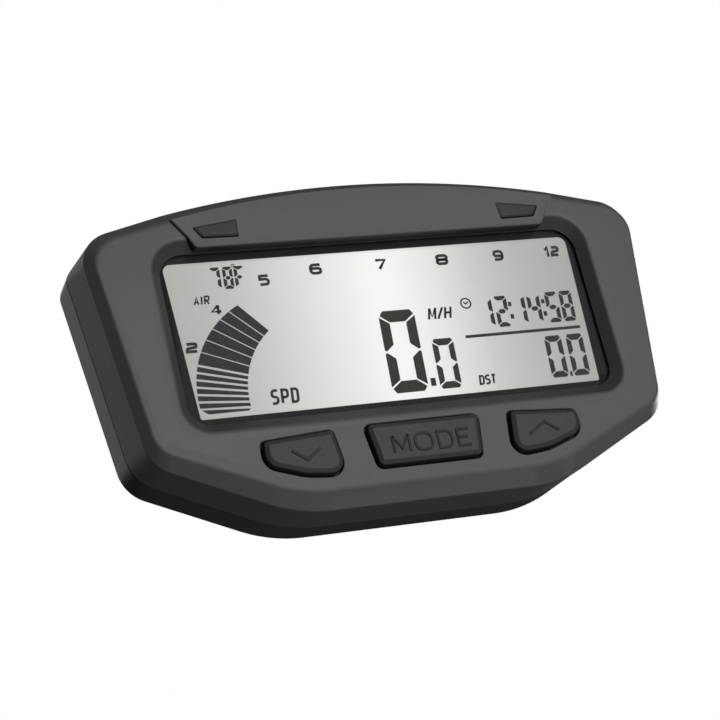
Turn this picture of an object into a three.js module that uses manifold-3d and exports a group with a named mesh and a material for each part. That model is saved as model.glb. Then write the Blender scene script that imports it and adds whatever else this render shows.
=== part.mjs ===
// Compact digital instrument cluster for an off-road motorcycle: a two-part plastic housing that
// holds a segment display, three sprung keys, two indicator lamps and a coin cell.
//
// Units are millimetres. X is to the rider's right and Z is up. Inside this file Y is the depth
// behind the front face (0 at the face, growing towards the back); the whole group is then moved
// so that the rear mounting pad lies on Y = 0 and the face looks towards -Y.

import * as THREE from 'three';
import { mergeVertices } from 'three/addons/utils/BufferGeometryUtils.js';
import Module from 'manifold-3d';

const wasm = await Module();
wasm.setup();

// ---------------------------------------------------------------- driving dimensions

const FIT = 0.1;                 // gap between neighbouring pieces that never move
const RUNNING = 0.15;            // gap beside a piece that moves

// Depths behind the front face
const SHOULDER_DEPTH = 2.8;      // where the front chamfer meets the side wall
const FRONT_WALL = 2.2;
const PARTING_DEPTH = 14.0;      // the two housings meet here
const PARTING_GAP = 0.15;
const SEAL_GROOVE = 0.8;
const REAR_EDGE_DEPTH = 21.0;    // where the rear edge starts to round over
const BACK_DEPTH = 22.3;
const BACK_WALL = 2.0;
const PAD_DEPTH = 23.3;          // the mounting pad stands proud of the back
const SIDE_WALL = 2.0;

const BOARD_FRONT = 8.0;
const BOARD_BACK = 9.2;

// Housing outline: an arched top, sides that lean in downwards, diagonals and a flat bottom
const ARCH_HALF = 40;
const SIDE_LEAN = 0.121;
const BOTTOM_CORNER = 28;

const FACE = { archTop: 27.35, archRadius: 180, shoulderSlope: -0.236, side: 53.3,
  diagonalStart: -43.5, diagonalSlope: 0.435, bottom: -32.3, upperCorner: 6, lowerCorner: 5 };
const SHOULDER = { archTop: 29.7, archRadius: 193, shoulderSlope: -0.25, side: 54.65,
  diagonalStart: -47.95, diagonalSlope: 0.475, bottom: -35.45, upperCorner: 7, lowerCorner: 7 };
const PARTING = { ...SHOULDER, archTop: 29.4, side: 54.8, diagonalStart: -46.85, bottom: -34.7,
  upperCorner: 3.5, lowerCorner: 7.5 };
const REAR = { ...SHOULDER, archTop: 29.0, side: 54.9, diagonalStart: -46.7, bottom: -34.3,
  upperCorner: 3.5, lowerCorner: 7.5 };
const REAR_ROUNDING = [[0.5, 21.8], [1.6, BACK_DEPTH]];   // inset and depth of the rounded rear edge

// Display
const RECESS = { half: 44.9, top: 19.2, bottom: -19.3, upperRadius: 6.5, lowerRadius: 5.5 };
const RECESS_FLOOR = { half: 42.95, top: 16.9, bottom: -17.0, upperRadius: 4.8, lowerRadius: 4.0 };
const GASKET_OPENING = { half: 43.15, top: 17.2, bottom: -17.3, upperRadius: 4.6, lowerRadius: 3.8 };
const LENS = { half: 43.9, top: 18.2, bottom: -18.2, upperRadius: 4, lowerRadius: 4 };
const VIEW = { topHalf: 41.87, bottomHalf: 40.62, top: 15.56, bottom: -15.56 };
const GASKET_DEPTHS = [FRONT_WALL, 2.5];
const LENS_DEPTHS = [2.5, 3.1];
const MASK_DEPTHS = [3.1, 3.2];
const POLARISER_DEPTHS = [3.2, 3.35];
const FRONT_GLASS_DEPTHS = [3.35, 4.05];
const REAR_GLASS_DEPTHS = [4.05, 4.75];
const REFLECTOR_DEPTHS = [4.75, 4.95];
const GUIDE_DEPTHS = [5.0, 6.8];
const HOLDER = { half: 44.5, top: 18.7 };
const HOLDER_OPENING = { half: 43.5, top: 17.8 };
const GLASS = { half: 43.3, top: 17.6, rearTop: 15.8 };

// Visor
const VISOR = { topHalf: 39.5, bendHalf: 37.0, bendTop: 19.4, bottomHalf: 35.8, bottom: 16.9 };
const VISOR_FRONT = -0.7;
const VISOR_BACK = 1.4;
const WINDOW_RISE = 0.4;          // the indicator windows stand proud of the visor

// Keys
const KEY_FRONT = -1.6;
const KEY_BEVEL = 0.4;
const KEY_MOAT = 0.55;
const KEY_FLANGE = 0.7;
const KEY_FLANGE_DEPTHS = [2.4, 3.2];
const KEY_STEM_RADIUS = 1.8;
const KEY_STEM_END = 5.15;
const KEY_SEAL_DEPTHS = [4.4, 5.0];
const SWITCH_SIZE = 5.2;
const SWITCH_FRONT = 6.2;
const PLUNGER_RADIUS = 1.6;
const PLUNGER_DEPTHS = [5.2, 6.4];
const SWITCH_BORE_END = 7.6;

// Fasteners and mounting
const HOUSING_POSTS = [[49.5, 14], [47.6, -17.5]];
const POST_RADIUS = 2.8;
const REAR_BOSS_RADIUS = 3.6;
const SCREW_RADIUS = 1.25;
const SCREW_HEAD_RADIUS = 2.2;
const SCREW_TIP = 8.0;
const SCREW_HEAD_DEPTHS = [19.6, 21.0];
const BOARD_POSTS = [[38.5, -22.3], [-38.5, -22.3], [0, 21.5]];
const BOARD_POST_RADIUS = 2.2;
const BOARD_SCREW_RADIUS = 0.95;
const BOARD_SCREW_HEAD = 2.0;
const BOARD_SCREW_TIP = 4.5;
const PAD = { half: 20, top: 7, radius: 3 };
const INSERT_X = 12;
const INSERT_RADIUS = 3.5;
const INSERT_BORE = 2.5;
const INSERT_FRONT = 17.3;

// Coin cell well and its door
const WELL_X = 36;
const WELL_Z = 2;
const WELL_RADIUS = 14.6;
const WELL_FLOOR = [16.0, 16.7];
const CELL_RADIUS = 10;
const CELL_DEPTHS = [17.1, 20.3];
const LEDGE_DEPTH = 19.3;
const LEDGE_RADIUS = 12.4;
const GROOVE_RADIUS = 13.7;
const GROOVE_DEPTHS = [20.5, 21.6];
const MOUTH_RADIUS = 12.2;
const DOOR_RADIUS = 11.9;
const DOOR_DEPTHS = [20.6, 22.2];
const LUG_RADIUS = 13.4;
const LUG_HALF_ANGLE = 12;
const DOOR_TURN = 60;            // degrees from locked to released

// Cable gland
const GLAND_Z = -18;
const GLAND_FRONT = 19.0;
const GLAND_BORE = 3.5;
const GLAND_NECK = 6.0;
const GLAND_FLANGE = 7.5;

// ---------------------------------------------------------------- colours

const plastic = (color, roughness = 0.62) => ({ color, roughness, metalness: 0 });
const metal = (color, roughness = 0.35) => ({ color, roughness, metalness: 1 });
const HOUSING_GREY = plastic(0x5e5e5e);
const KEY_GREY = plastic(0x4b4b4b, 0.7);
const RUBBER_BLACK = plastic(0x1c1c1c, 0.85);
const CLEAR = { color: 0xf2f5f5, roughness: 0.05, metalness: 0, transparent: true, opacity: 0.25 };
const SMOKED = { color: 0x3c3a38, roughness: 0.2, metalness: 0 };
const STEEL = metal(0xa9adb0);
const BRASS = metal(0xc9a45c);

const cluster = new THREE.Group();
cluster.name = 'instrument_cluster';
cluster.position.y = -PAD_DEPTH;

function add(name, geometry, look) {
  const mesh = new THREE.Mesh(geometry, new THREE.MeshStandardMaterial(look));
  mesh.name = name;
  cluster.add(mesh);
}

// ---------------------------------------------------------------- outlines in the X-Z plane
//
// An outline is a list of corners { x, z, r, steps }, anticlockwise as seen from the front.

const mirror = (corners) => corners.map((c) => ({ ...c, x: -c.x })).reverse();

function meet(a, b) {
  const along = ((b.x - a.x) * b.dz - (b.z - a.z) * b.dx) / (a.dx * b.dz - a.dz * b.dx);
  return { x: a.x + along * a.dx, z: a.z + along * a.dz };
}

function edgeLine(from, to, inset) {
  const length = Math.hypot(to.x - from.x, to.z - from.z);
  const dx = (to.x - from.x) / length;
  const dz = (to.z - from.z) / length;
  return { x: from.x - dz * inset, z: from.z + dx * inset, dx, dz };
}

// Moves every edge of a convex outline inwards, or outwards for a negative inset.
function insetOutline(corners, inset) {
  const count = corners.length;
  return corners.map((corner, i) => {
    const before = edgeLine(corners[(i + count - 1) % count], corner, inset);
    const after = edgeLine(corner, corners[(i + 1) % count], inset);
    const r = corner.r > 0 ? Math.max(corner.r - inset, 0.3) : 0;
    return { ...corner, ...meet(before, after), r };
  });
}

function cornerArc(before, corner, after) {
  const steps = corner.steps ?? 4;
  const a = edgeLine(corner, before, 0);
  const b = edgeLine(corner, after, 0);
  const halfAngle = Math.acos(a.dx * b.dx + a.dz * b.dz) / 2;
  const reach = corner.r / Math.tan(halfAngle);
  const bisector = Math.hypot(a.dx + b.dx, a.dz + b.dz);
  const toCentre = corner.r / Math.sin(halfAngle) / bisector;
  const centre = { x: corner.x + (a.dx + b.dx) * toCentre, z: corner.z + (a.dz + b.dz) * toCentre };
  const from = Math.atan2(corner.z + a.dz * reach - centre.z, corner.x + a.dx * reach - centre.x);
  const sweep = Math.PI - 2 * halfAngle;
  return Array.from({ length: steps + 1 }, (_, i) => {
    const angle = from + (sweep * i) / steps;
    return new THREE.Vector2(centre.x + corner.r * Math.cos(angle), centre.z + corner.r * Math.sin(angle));
  });
}

function outlinePoints(corners) {
  const count = corners.length;
  return corners.flatMap((corner, i) => (corner.r > 0
    ? cornerArc(corners[(i + count - 1) % count], corner, corners[(i + 1) % count])
    : [new THREE.Vector2(corner.x, corner.z)]));
}

function housingCorners(level) {
  const archZ = (x) => level.archTop - (x * x) / (2 * level.archRadius);
  const top = { x: ARCH_HALF, z: archZ(ARCH_HALF), dx: 1, dz: level.shoulderSlope };
  const side = { x: level.side, z: 0, dx: SIDE_LEAN, dz: 1 };
  const diagonal = { x: 0, z: level.diagonalStart, dx: 1, dz: level.diagonalSlope };
  const bottom = { x: 0, z: level.bottom, dx: 1, dz: 0 };
  const right = [
    { ...meet(bottom, diagonal), r: BOTTOM_CORNER, steps: 5 },
    { ...meet(diagonal, side), r: level.lowerCorner, steps: 5 },
    { ...meet(side, top), r: level.upperCorner, steps: 6 },
  ];
  const archSteps = 16;
  const arch = Array.from({ length: archSteps + 1 }, (_, i) => {
    const x = ARCH_HALF - (2 * ARCH_HALF * i) / archSteps;
    return { x, z: archZ(x), r: 0 };
  });
  return [...right, ...arch, ...mirror(right)];
}

function windowCorners({ half, top, bottom, upperRadius, lowerRadius }) {
  const right = [
    { x: half, z: bottom, r: lowerRadius, steps: 5 },
    { x: half, z: top, r: upperRadius, steps: 5 },
  ];
  return [...right, ...mirror(right)];
}

const rectangleCorners = (half, top, r) => (
  windowCorners({ half, top, bottom: -top, upperRadius: r, lowerRadius: r }));

function viewCorners() {
  const right = [
    { x: VIEW.bottomHalf, z: VIEW.bottom, r: 0.5, steps: 2 },
    { x: VIEW.topHalf, z: VIEW.top, r: 1.6, steps: 4 },
  ];
  return [...right, ...mirror(right)];
}

function visorCorners() {
  const topZ = (x) => FACE.archTop - (x * x) / (2 * FACE.archRadius);
  const right = [
    { x: VISOR.bottomHalf, z: VISOR.bottom, r: 1.2, steps: 3 },
    { x: VISOR.bendHalf, z: VISOR.bendTop, r: 0 },
    { x: VISOR.topHalf, z: topZ(VISOR.topHalf), r: 0 },
  ];
  const arch = [];
  for (let x = 35; x >= -35; x -= 5) arch.push({ x, z: topZ(x), r: 0 });
  return [...right, ...arch, ...mirror(right)];
}

// The pointed indicator window on the rider's right.
const indicatorCorners = () => [
  { x: 27.1, z: 18.8, r: 0.4, steps: 2 },
  { x: 34.1, z: 18.9, r: 0.6, steps: 2 },
  { x: 35.6, z: 21.0, r: 0.3, steps: 2 },
  { x: 26.8, z: 22.2, r: 0.3, steps: 2 },
];

const modeKeyCorners = () => {
  const right = [
    { x: 10.6, z: -29.65, r: 1.5, steps: 3 },
    { x: 11.8, z: -20.75, r: 1.5, steps: 3 },
  ];
  return [...right, ...mirror(right)];
};

// The arrow key on the rider's right follows the housing's diagonal.
const arrowKeyCorners = () => [
  { x: 16.3, z: -30.4, r: 3.0, steps: 4 },
  { x: 24.5, z: -29.6, r: 12, steps: 3 },
  { x: 32.2, z: -27.0, r: 3.2, steps: 4 },
  { x: 31.8, z: -21.9, r: 1.2, steps: 3 },
  { x: 17.5, z: -20.95, r: 1.2, steps: 3 },
];

const KEYS = {
  down: { opening: mirror(arrowKeyCorners()), x: -24.2, z: -25.6 },
  mode: { opening: modeKeyCorners(), x: 0, z: -25.2 },
  up: { opening: arrowKeyCorners(), x: 24.2, z: -25.6 },
};

// ---------------------------------------------------------------- solids

// Joins outlines with equal point counts, listed from front to back, into a closed body.
function loft(levels) {
  const rings = levels.map((level) => outlinePoints(level.corners));
  const count = rings[0].length;
  const positions = rings.flatMap((ring, k) => ring.flatMap((p) => [p.x, levels[k].depth, p.y]));
  const index = [];
  for (let k = 0; k < rings.length - 1; k += 1) {
    for (let i = 0; i < count; i += 1) {
      const next = (i + 1) % count;
      const front = k * count;
      const back = front + count;
      index.push(front + i, back + i, front + next, back + i, back + next, front + next);
    }
  }
  const last = (rings.length - 1) * count;
  for (const [a, b, c] of THREE.ShapeUtils.triangulateShape(rings[0], [])) index.push(a, b, c);
  for (const [a, b, c] of THREE.ShapeUtils.triangulateShape(rings.at(-1), [])) {
    index.push(last + a, last + c, last + b);
  }
  const geometry = new THREE.BufferGeometry();
  geometry.setAttribute('position', new THREE.Float32BufferAttribute(positions, 3));
  geometry.setIndex(index);
  return geometry;
}

function plate(corners, [front, back]) {
  const shape = new THREE.Shape(outlinePoints(corners));
  const options = { depth: back - front, bevelEnabled: false };
  return new THREE.ExtrudeGeometry(shape, options).rotateX(Math.PI / 2).translate(0, back, 0);
}

function rod(x, z, radius, [front, back], segments = 24) {
  const cylinder = new THREE.CylinderGeometry(radius, radius, back - front, segments);
  return cylinder.translate(x, (front + back) / 2, z);
}

function box([x0, x1], [y0, y1], [z0, z1]) {
  const block = new THREE.BoxGeometry(x1 - x0, y1 - y0, z1 - z0);
  return block.translate((x0 + x1) / 2, (y0 + y1) / 2, (z0 + z1) / 2);
}

// A part of a ring around the well's axis, centred on an angle in degrees.
function ringSector(inner, outer, middle, halfAngle, depths) {
  const corners = [];
  const steps = 6;
  const at = (radius, i) => {
    const angle = THREE.MathUtils.degToRad(middle - halfAngle + (2 * halfAngle * i) / steps);
    return { x: WELL_X + radius * Math.cos(angle), z: WELL_Z + radius * Math.sin(angle), r: 0 };
  };
  for (let i = 0; i <= steps; i += 1) corners.push(at(outer, i));
  for (let i = steps; i >= 0; i -= 1) corners.push(at(inner, i));
  return plate(corners, depths);
}

// A body of revolution about a line along Y; the profile holds [radius, depth] pairs.
function turned(x, z, profile, segments = 24) {
  const points = profile.map(([radius, depth]) => new THREE.Vector2(radius, depth));
  return new THREE.LatheGeometry(points, segments).translate(x, 0, z);
}

function toManifold(geometry) {
  const bare = geometry.clone();
  bare.deleteAttribute('normal');
  bare.deleteAttribute('uv');
  const merged = mergeVertices(bare);
  return new wasm.Manifold(new wasm.Mesh({
    numProp: 3,
    vertProperties: merged.attributes.position.array,
    triVerts: Uint32Array.from(merged.index.array),
  }));
}

// Joins some bodies to a first one, then cuts others away.
function shape(base, joins, cuts) {
  const joined = joins.reduce((solid, part) => solid.add(toManifold(part)), toManifold(base));
  const result = cuts.reduce((solid, part) => solid.subtract(toManifold(part)), joined).getMesh();
  const geometry = new THREE.BufferGeometry();
  geometry.setAttribute('position', new THREE.BufferAttribute(result.vertProperties, 3));
  geometry.setIndex(new THREE.BufferAttribute(result.triVerts, 1));
  return geometry;
}

const bothSides = (points) => points.flatMap(([x, z]) => [[x, z], [-x, z]]);

// ---------------------------------------------------------------- housings

function frontHousing() {
  const face = housingCorners(FACE);
  const parting = housingCorners(PARTING);
  const shell = loft([
    { depth: 0, corners: face },
    { depth: SHOULDER_DEPTH, corners: housingCorners(SHOULDER) },
    { depth: PARTING_DEPTH, corners: parting },
  ]);
  const cavity = plate(insetOutline(parting, SIDE_WALL), [FRONT_WALL, PARTING_DEPTH + 1]);
  const recess = loft([
    { depth: -1, corners: windowCorners(RECESS) },
    { depth: 0, corners: windowCorners(RECESS) },
    { depth: FRONT_WALL, corners: windowCorners(RECESS_FLOOR) },
    { depth: FRONT_WALL + 1, corners: windowCorners(RECESS_FLOOR) },
  ]);
  const hollow = shape(shell, [], [cavity, recess]);

  const inWall = FRONT_WALL - 1;
  const posts = bothSides(HOUSING_POSTS).map(([x, z]) => rod(x, z, POST_RADIUS, [inWall, PARTING_DEPTH]));
  const boardPosts = BOARD_POSTS.map(([x, z]) => (
    rod(x, z, BOARD_POST_RADIUS, [inWall, BOARD_FRONT - FIT])));
  const visorBacking = box([-38, 38], [inWall, 4], [19.0, 24.0]);
  const sealRibs = [-14.2, 14.2].map((x) => (
    box([x - 0.6, x + 0.6], [inWall, KEY_SEAL_DEPTHS[0] - FIT], [-29, -20.5])));

  const pocket = plate(insetOutline(visorCorners(), -FIT), [-1, VISOR_BACK + FIT]);
  const screwHoles = bothSides(HOUSING_POSTS).map(([x, z]) => (
    rod(x, z, SCREW_RADIUS + 0.05, [SCREW_TIP - 0.5, PARTING_DEPTH + 1], 16)));
  const boardHoles = BOARD_POSTS.map(([x, z]) => (
    rod(x, z, BOARD_SCREW_RADIUS + 0.05, [BOARD_SCREW_TIP - 0.4, BOARD_FRONT + 1], 16)));
  const keyOpenings = Object.values(KEYS).map((key) => plate(key.opening, [-1, FRONT_WALL + 1]));
  const stemHoles = [-1, 1].map((side) => stemBox(side, FIT, [0, 5]));
  const sealGroove = shape(
    plate(insetOutline(parting, 0.7), [PARTING_DEPTH - SEAL_GROOVE, PARTING_DEPTH + 1]), [],
    [plate(insetOutline(parting, 1.4), [PARTING_DEPTH - 2, PARTING_DEPTH + 2])]);
  return shape(hollow, [...posts, ...boardPosts, visorBacking, ...sealRibs],
    [pocket, ...screwHoles, ...boardHoles, ...keyOpenings, ...stemHoles, sealGroove]);
}

function rearHousing() {
  const front = PARTING_DEPTH + PARTING_GAP;
  const parting = housingCorners(PARTING);
  const rear = housingCorners(REAR);
  const shell = loft([
    { depth: front, corners: parting },
    { depth: REAR_EDGE_DEPTH, corners: rear },
    ...REAR_ROUNDING.map(([inset, depth]) => ({ depth, corners: insetOutline(rear, inset) })),
  ]);
  const cavity = plate(insetOutline(rear, SIDE_WALL + 0.1), [front - 1, BACK_DEPTH - BACK_WALL]);
  const hollow = shape(shell, [], [cavity]);

  const bossBack = BACK_DEPTH - BACK_WALL / 2;
  const bosses = bothSides(HOUSING_POSTS).map(([x, z]) => rod(x, z, REAR_BOSS_RADIUS, [front, bossBack - 0.5]));
  const insertBosses = [-1, 1].map((side) => rod(side * INSERT_X, 0, 5.2, [INSERT_FRONT - 0.9, bossBack]));
  const well = rod(WELL_X, WELL_Z, WELL_RADIUS, [WELL_FLOOR[0], bossBack], 40);
  const pad = plate(rectangleCorners(PAD.half, PAD.top, PAD.radius), [bossBack, PAD_DEPTH]);

  const screwHoles = bothSides(HOUSING_POSTS).flatMap(([x, z]) => [
    rod(x, z, SCREW_RADIUS + 0.2, [front - 1, BACK_DEPTH], 16),
    rod(x, z, SCREW_HEAD_RADIUS + 0.25, [SCREW_HEAD_DEPTHS[0] - FIT, BACK_DEPTH + 1], 20),
  ]);
  const insertHoles = [-1, 1].map((side) => (
    rod(side * INSERT_X, 0, INSERT_RADIUS + 0.05, [INSERT_FRONT - FIT, PAD_DEPTH + 1])));
  const glandHole = rod(0, GLAND_Z, GLAND_NECK + FIT, [GLAND_FRONT, BACK_DEPTH + 1]);
  const wellCuts = [
    rod(WELL_X, WELL_Z, CELL_RADIUS + 0.4, [WELL_FLOOR[1], BACK_DEPTH], 40),
    rod(WELL_X, WELL_Z, LEDGE_RADIUS, [LEDGE_DEPTH, BACK_DEPTH - 1], 40),
    rod(WELL_X, WELL_Z, GROOVE_RADIUS, GROOVE_DEPTHS, 40),
    rod(WELL_X, WELL_Z, MOUTH_RADIUS, [GROOVE_DEPTHS[0], BACK_DEPTH + 1], 40),
    ...[0, 180].map((side) => (
      ringSector(11.5, GROOVE_RADIUS, side + DOOR_TURN, LUG_HALF_ANGLE + 3, [GROOVE_DEPTHS[0], BACK_DEPTH + 1]))),
    box([WELL_X - 1.4, WELL_X + 1.4], [WELL_FLOOR[0] - 1, WELL_FLOOR[1] + 1], [WELL_Z - 2, WELL_Z + 2]),
    box([WELL_X - 11.2, WELL_X - 9.8], [WELL_FLOOR[0] - 1, LEDGE_DEPTH - 0.2], [WELL_Z - 2, WELL_Z + 2]),
  ];
  return shape(hollow, [...bosses, ...insertBosses, well, pad],
    [...screwHoles, ...insertHoles, glandHole, ...wellCuts]);
}

function housingSeal() {
  const parting = housingCorners(PARTING);
  const depths = [PARTING_DEPTH - SEAL_GROOVE + 0.05, PARTING_DEPTH + PARTING_GAP - 0.05];
  return shape(plate(insetOutline(parting, 0.8), depths), [],
    [plate(insetOutline(parting, 1.3), [depths[0] - 1, depths[1] + 1])]);
}

function housingScrew(x, z) {
  const [headFront, headBack] = SCREW_HEAD_DEPTHS;
  return turned(x, z, [
    [0, SCREW_TIP], [SCREW_RADIUS - 0.5, SCREW_TIP], [SCREW_RADIUS, SCREW_TIP + 0.8],
    [SCREW_RADIUS, headFront], [SCREW_HEAD_RADIUS, headFront],
    [SCREW_HEAD_RADIUS, headBack - 0.5], [SCREW_HEAD_RADIUS - 0.7, headBack], [0, headBack],
  ], 16);
}

// ---------------------------------------------------------------- visor and indicators

function visor() {
  const corners = visorCorners();
  const slab = loft([
    { depth: VISOR_FRONT, corners: insetOutline(corners, 0.35) },
    { depth: VISOR_FRONT + 0.35, corners },
    { depth: VISOR_BACK, corners },
  ]);
  const windows = [indicatorCorners(), mirror(indicatorCorners())];
  return shape(slab, [], windows.map((corners) => plate(corners, [VISOR_FRONT - 1, VISOR_BACK + 1])));
}

function stemBox(side, gap, depths) {
  const x = 31.6 * side;
  return box([x - 2.5 - gap, x + 2.5 + gap], depths, [19.6 - gap, 21.0 + gap]);
}

function lightPipe(side) {
  const window = side > 0 ? indicatorCorners() : mirror(indicatorCorners());
  const head = plate(insetOutline(window, FIT), [VISOR_FRONT - WINDOW_RISE, VISOR_BACK]);
  return shape(head, [stemBox(side, 0, [VISOR_BACK - 0.5, 7.2])], []);
}

// ---------------------------------------------------------------- display

function frame(outer, inner, [front, back]) {
  return shape(plate(outer, [front, back]), [], [plate(inner, [front - 1, back + 1])]);
}

function displayPieces() {
  const lens = windowCorners(LENS);
  const boardGap = BOARD_FRONT - FIT;
  add('lens_gasket', frame(lens, windowCorners(GASKET_OPENING), GASKET_DEPTHS), RUBBER_BLACK);
  add('display_lens', plate(lens, LENS_DEPTHS), CLEAR);
  add('display_mask', frame(lens, viewCorners(), MASK_DEPTHS), plastic(0x1b1b1b));
  add('lcd_polariser', plate(rectangleCorners(42.9, 16.6, 0.5), POLARISER_DEPTHS), plastic(0xc9cbc6, 0.4));
  add('lcd_front_glass', plate(rectangleCorners(GLASS.half, GLASS.top, 0.5), FRONT_GLASS_DEPTHS), CLEAR);
  add('lcd_rear_glass', plate(rectangleCorners(GLASS.half, GLASS.rearTop, 0.5), REAR_GLASS_DEPTHS), CLEAR);
  add('lcd_reflector', plate(rectangleCorners(42.6, 15.4, 0.5), REFLECTOR_DEPTHS), metal(0xd8d9d5, 0.5));
  add('light_guide', plate(rectangleCorners(42, 15.2, 1), GUIDE_DEPTHS), plastic(0xf4f4f2, 0.3));
  add('lcd_holder', frame(rectangleCorners(HOLDER.half, HOLDER.top, 2),
    rectangleCorners(HOLDER_OPENING.half, HOLDER_OPENING.top, 1), [3.25, boardGap]), plastic(0xe6e6e2, 0.5));
  for (const [name, z] of [['upper', 16.8], ['lower', -16.8]]) {
    add(`zebra_strip_${name}`, box([-40, 40], [4.1, boardGap], [z - 0.6, z + 0.6]), plastic(0x8d5a5a, 0.8));
  }
  for (const [name, x] of [['left', -20], ['right', 20]]) {
    add(`backlight_led_${name}`, box([x - 1.5, x + 1.5], [7.2, BOARD_FRONT], [-0.7, 0.7]), plastic(0xf2e9c0));
  }
}

// ---------------------------------------------------------------- keys

function key(opening, x, z) {
  const cap = insetOutline(opening, KEY_MOAT);
  const body = loft([
    { depth: KEY_FRONT, corners: insetOutline(cap, KEY_BEVEL) },
    { depth: KEY_FRONT + KEY_BEVEL, corners: cap },
    { depth: KEY_FLANGE_DEPTHS[0] + 0.3, corners: cap },
  ]);
  const flange = plate(insetOutline(opening, -KEY_FLANGE), KEY_FLANGE_DEPTHS);
  const stem = rod(x, z, KEY_STEM_RADIUS, [KEY_FLANGE_DEPTHS[1] - 0.3, KEY_STEM_END], 20);
  return shape(body, [flange, stem], []);
}

function keySeal() {
  const right = [
    { x: 16, z: -31.2, r: 2, steps: 3 },
    { x: 33.6, z: -26.8, r: 3, steps: 3 },
    { x: 33.6, z: -20.2, r: 1, steps: 2 },
  ];
  const holes = Object.values(KEYS).map(({ x, z }) => (
    rod(x, z, KEY_STEM_RADIUS + RUNNING, [KEY_SEAL_DEPTHS[0] - 1, KEY_SEAL_DEPTHS[1] + 1], 20)));
  return shape(plate([...right, ...mirror(right)], KEY_SEAL_DEPTHS), [], holes);
}

function tactSwitch(x, z) {
  const half = SWITCH_SIZE / 2;
  const body = box([x - half, x + half], [SWITCH_FRONT, BOARD_FRONT], [z - half, z + half]);
  return shape(body, [], [rod(x, z, PLUNGER_RADIUS + RUNNING, [SWITCH_FRONT - 1, SWITCH_BORE_END], 20)]);
}

function keyPieces() {
  for (const [name, { opening, x, z }] of Object.entries(KEYS)) {
    add(`button_${name}`, key(opening, x, z), KEY_GREY);
    add(`switch_plunger_${name}`, rod(x, z, PLUNGER_RADIUS, PLUNGER_DEPTHS, 20), plastic(0x222222));
    add(`switch_body_${name}`, tactSwitch(x, z), STEEL);
  }
  add('key_seal', keySeal(), RUBBER_BLACK);
}

// ---------------------------------------------------------------- circuit board

function mainBoard() {
  const depths = [BOARD_FRONT, BOARD_BACK];
  const through = [BOARD_FRONT - 1, BOARD_BACK + 1];
  const sheet = plate(insetOutline(housingCorners(REAR), SIDE_WALL + 0.5), depths);
  const cornerCuts = [-1, 1].flatMap((side) => {
    const span = (inner) => (side > 0 ? [inner, 60] : [-60, -inner]);
    return [box(span(45.3), through, [9.8, 30]), box(span(43.6), through, [-40, -13.4])];
  });
  const holes = BOARD_POSTS.map(([x, z]) => rod(x, z, BOARD_SCREW_RADIUS + 0.15, through, 16));
  return shape(sheet, [], [...cornerCuts, ...holes]);
}

function boardScrew(x, z) {
  const head = BOARD_BACK + 0.05;
  return turned(x, z, [
    [0, BOARD_SCREW_TIP], [BOARD_SCREW_RADIUS - 0.4, BOARD_SCREW_TIP],
    [BOARD_SCREW_RADIUS, BOARD_SCREW_TIP + 0.6], [BOARD_SCREW_RADIUS, head],
    [BOARD_SCREW_HEAD, head], [BOARD_SCREW_HEAD, head + 0.8], [BOARD_SCREW_HEAD - 0.6, head + 1.3],
    [0, head + 1.3],
  ], 16);
}

function boardPieces() {
  const seat = BOARD_BACK + 0.05;
  add('main_board', mainBoard(), plastic(0x1f5a34, 0.45));
  add('microcontroller', box([-30, -18], [seat, seat + 1.4], [2, 14]), plastic(0x161616, 0.5));
  add('crystal', box([-13, -6], [seat, seat + 1.6], [11, 14.2]), STEEL);
  add('wiring_header', box([-21, -9], [seat, seat + 4.2], [-21, -16]), plastic(0xe8e4d6));
  for (const [name, x] of [['left', -31.6], ['right', 31.6]]) {
    add(`indicator_led_${name}`, box([x - 1.6, x + 1.6], [7.3, BOARD_FRONT], [20.1, 21.6]), plastic(0xd98a2b));
  }
  BOARD_POSTS.forEach(([x, z], i) => add(`board_screw_${i + 1}`, boardScrew(x, z), STEEL));
}

// ---------------------------------------------------------------- coin cell

function coinCell() {
  const [front, back] = CELL_DEPTHS;
  return turned(WELL_X, WELL_Z, [
    [0, front], [CELL_RADIUS - 1.2, front], [CELL_RADIUS - 0.9, front + 0.5],
    [CELL_RADIUS, front + 0.7], [CELL_RADIUS, back - 0.3], [CELL_RADIUS - 0.3, back], [0, back],
  ], 40);
}

function batteryDoor() {
  const disc = rod(WELL_X, WELL_Z, DOOR_RADIUS, DOOR_DEPTHS, 40);
  const lugDepths = [GROOVE_DEPTHS[0] + 0.2, GROOVE_DEPTHS[1] - FIT];
  const lugs = [0, 180].map((angle) => (
    ringSector(DOOR_RADIUS - 1, LUG_RADIUS, angle, LUG_HALF_ANGLE, lugDepths)));
  const coinSlot = box([WELL_X - 7.5, WELL_X + 7.5], [DOOR_DEPTHS[1] - 0.9, DOOR_DEPTHS[1] + 1],
    [WELL_Z - 0.9, WELL_Z + 0.9]);
  return shape(disc, lugs, [coinSlot]);
}

function doorSeal() {
  const ring = new THREE.TorusGeometry(11.5, 0.5, 8, 40);
  return ring.rotateX(Math.PI / 2).translate(WELL_X, LEDGE_DEPTH + 0.6, WELL_Z);
}

// A bent strip: its side view in the X-Y plane, given as corners, has a width along Z.
function strip(points, width) {
  const side = new THREE.Shape(points.map(([x, y]) => new THREE.Vector2(WELL_X + x, y)));
  const geometry = new THREE.ExtrudeGeometry(side, { depth: width, bevelEnabled: false });
  return geometry.translate(0, 0, WELL_Z - width / 2);
}

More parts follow.
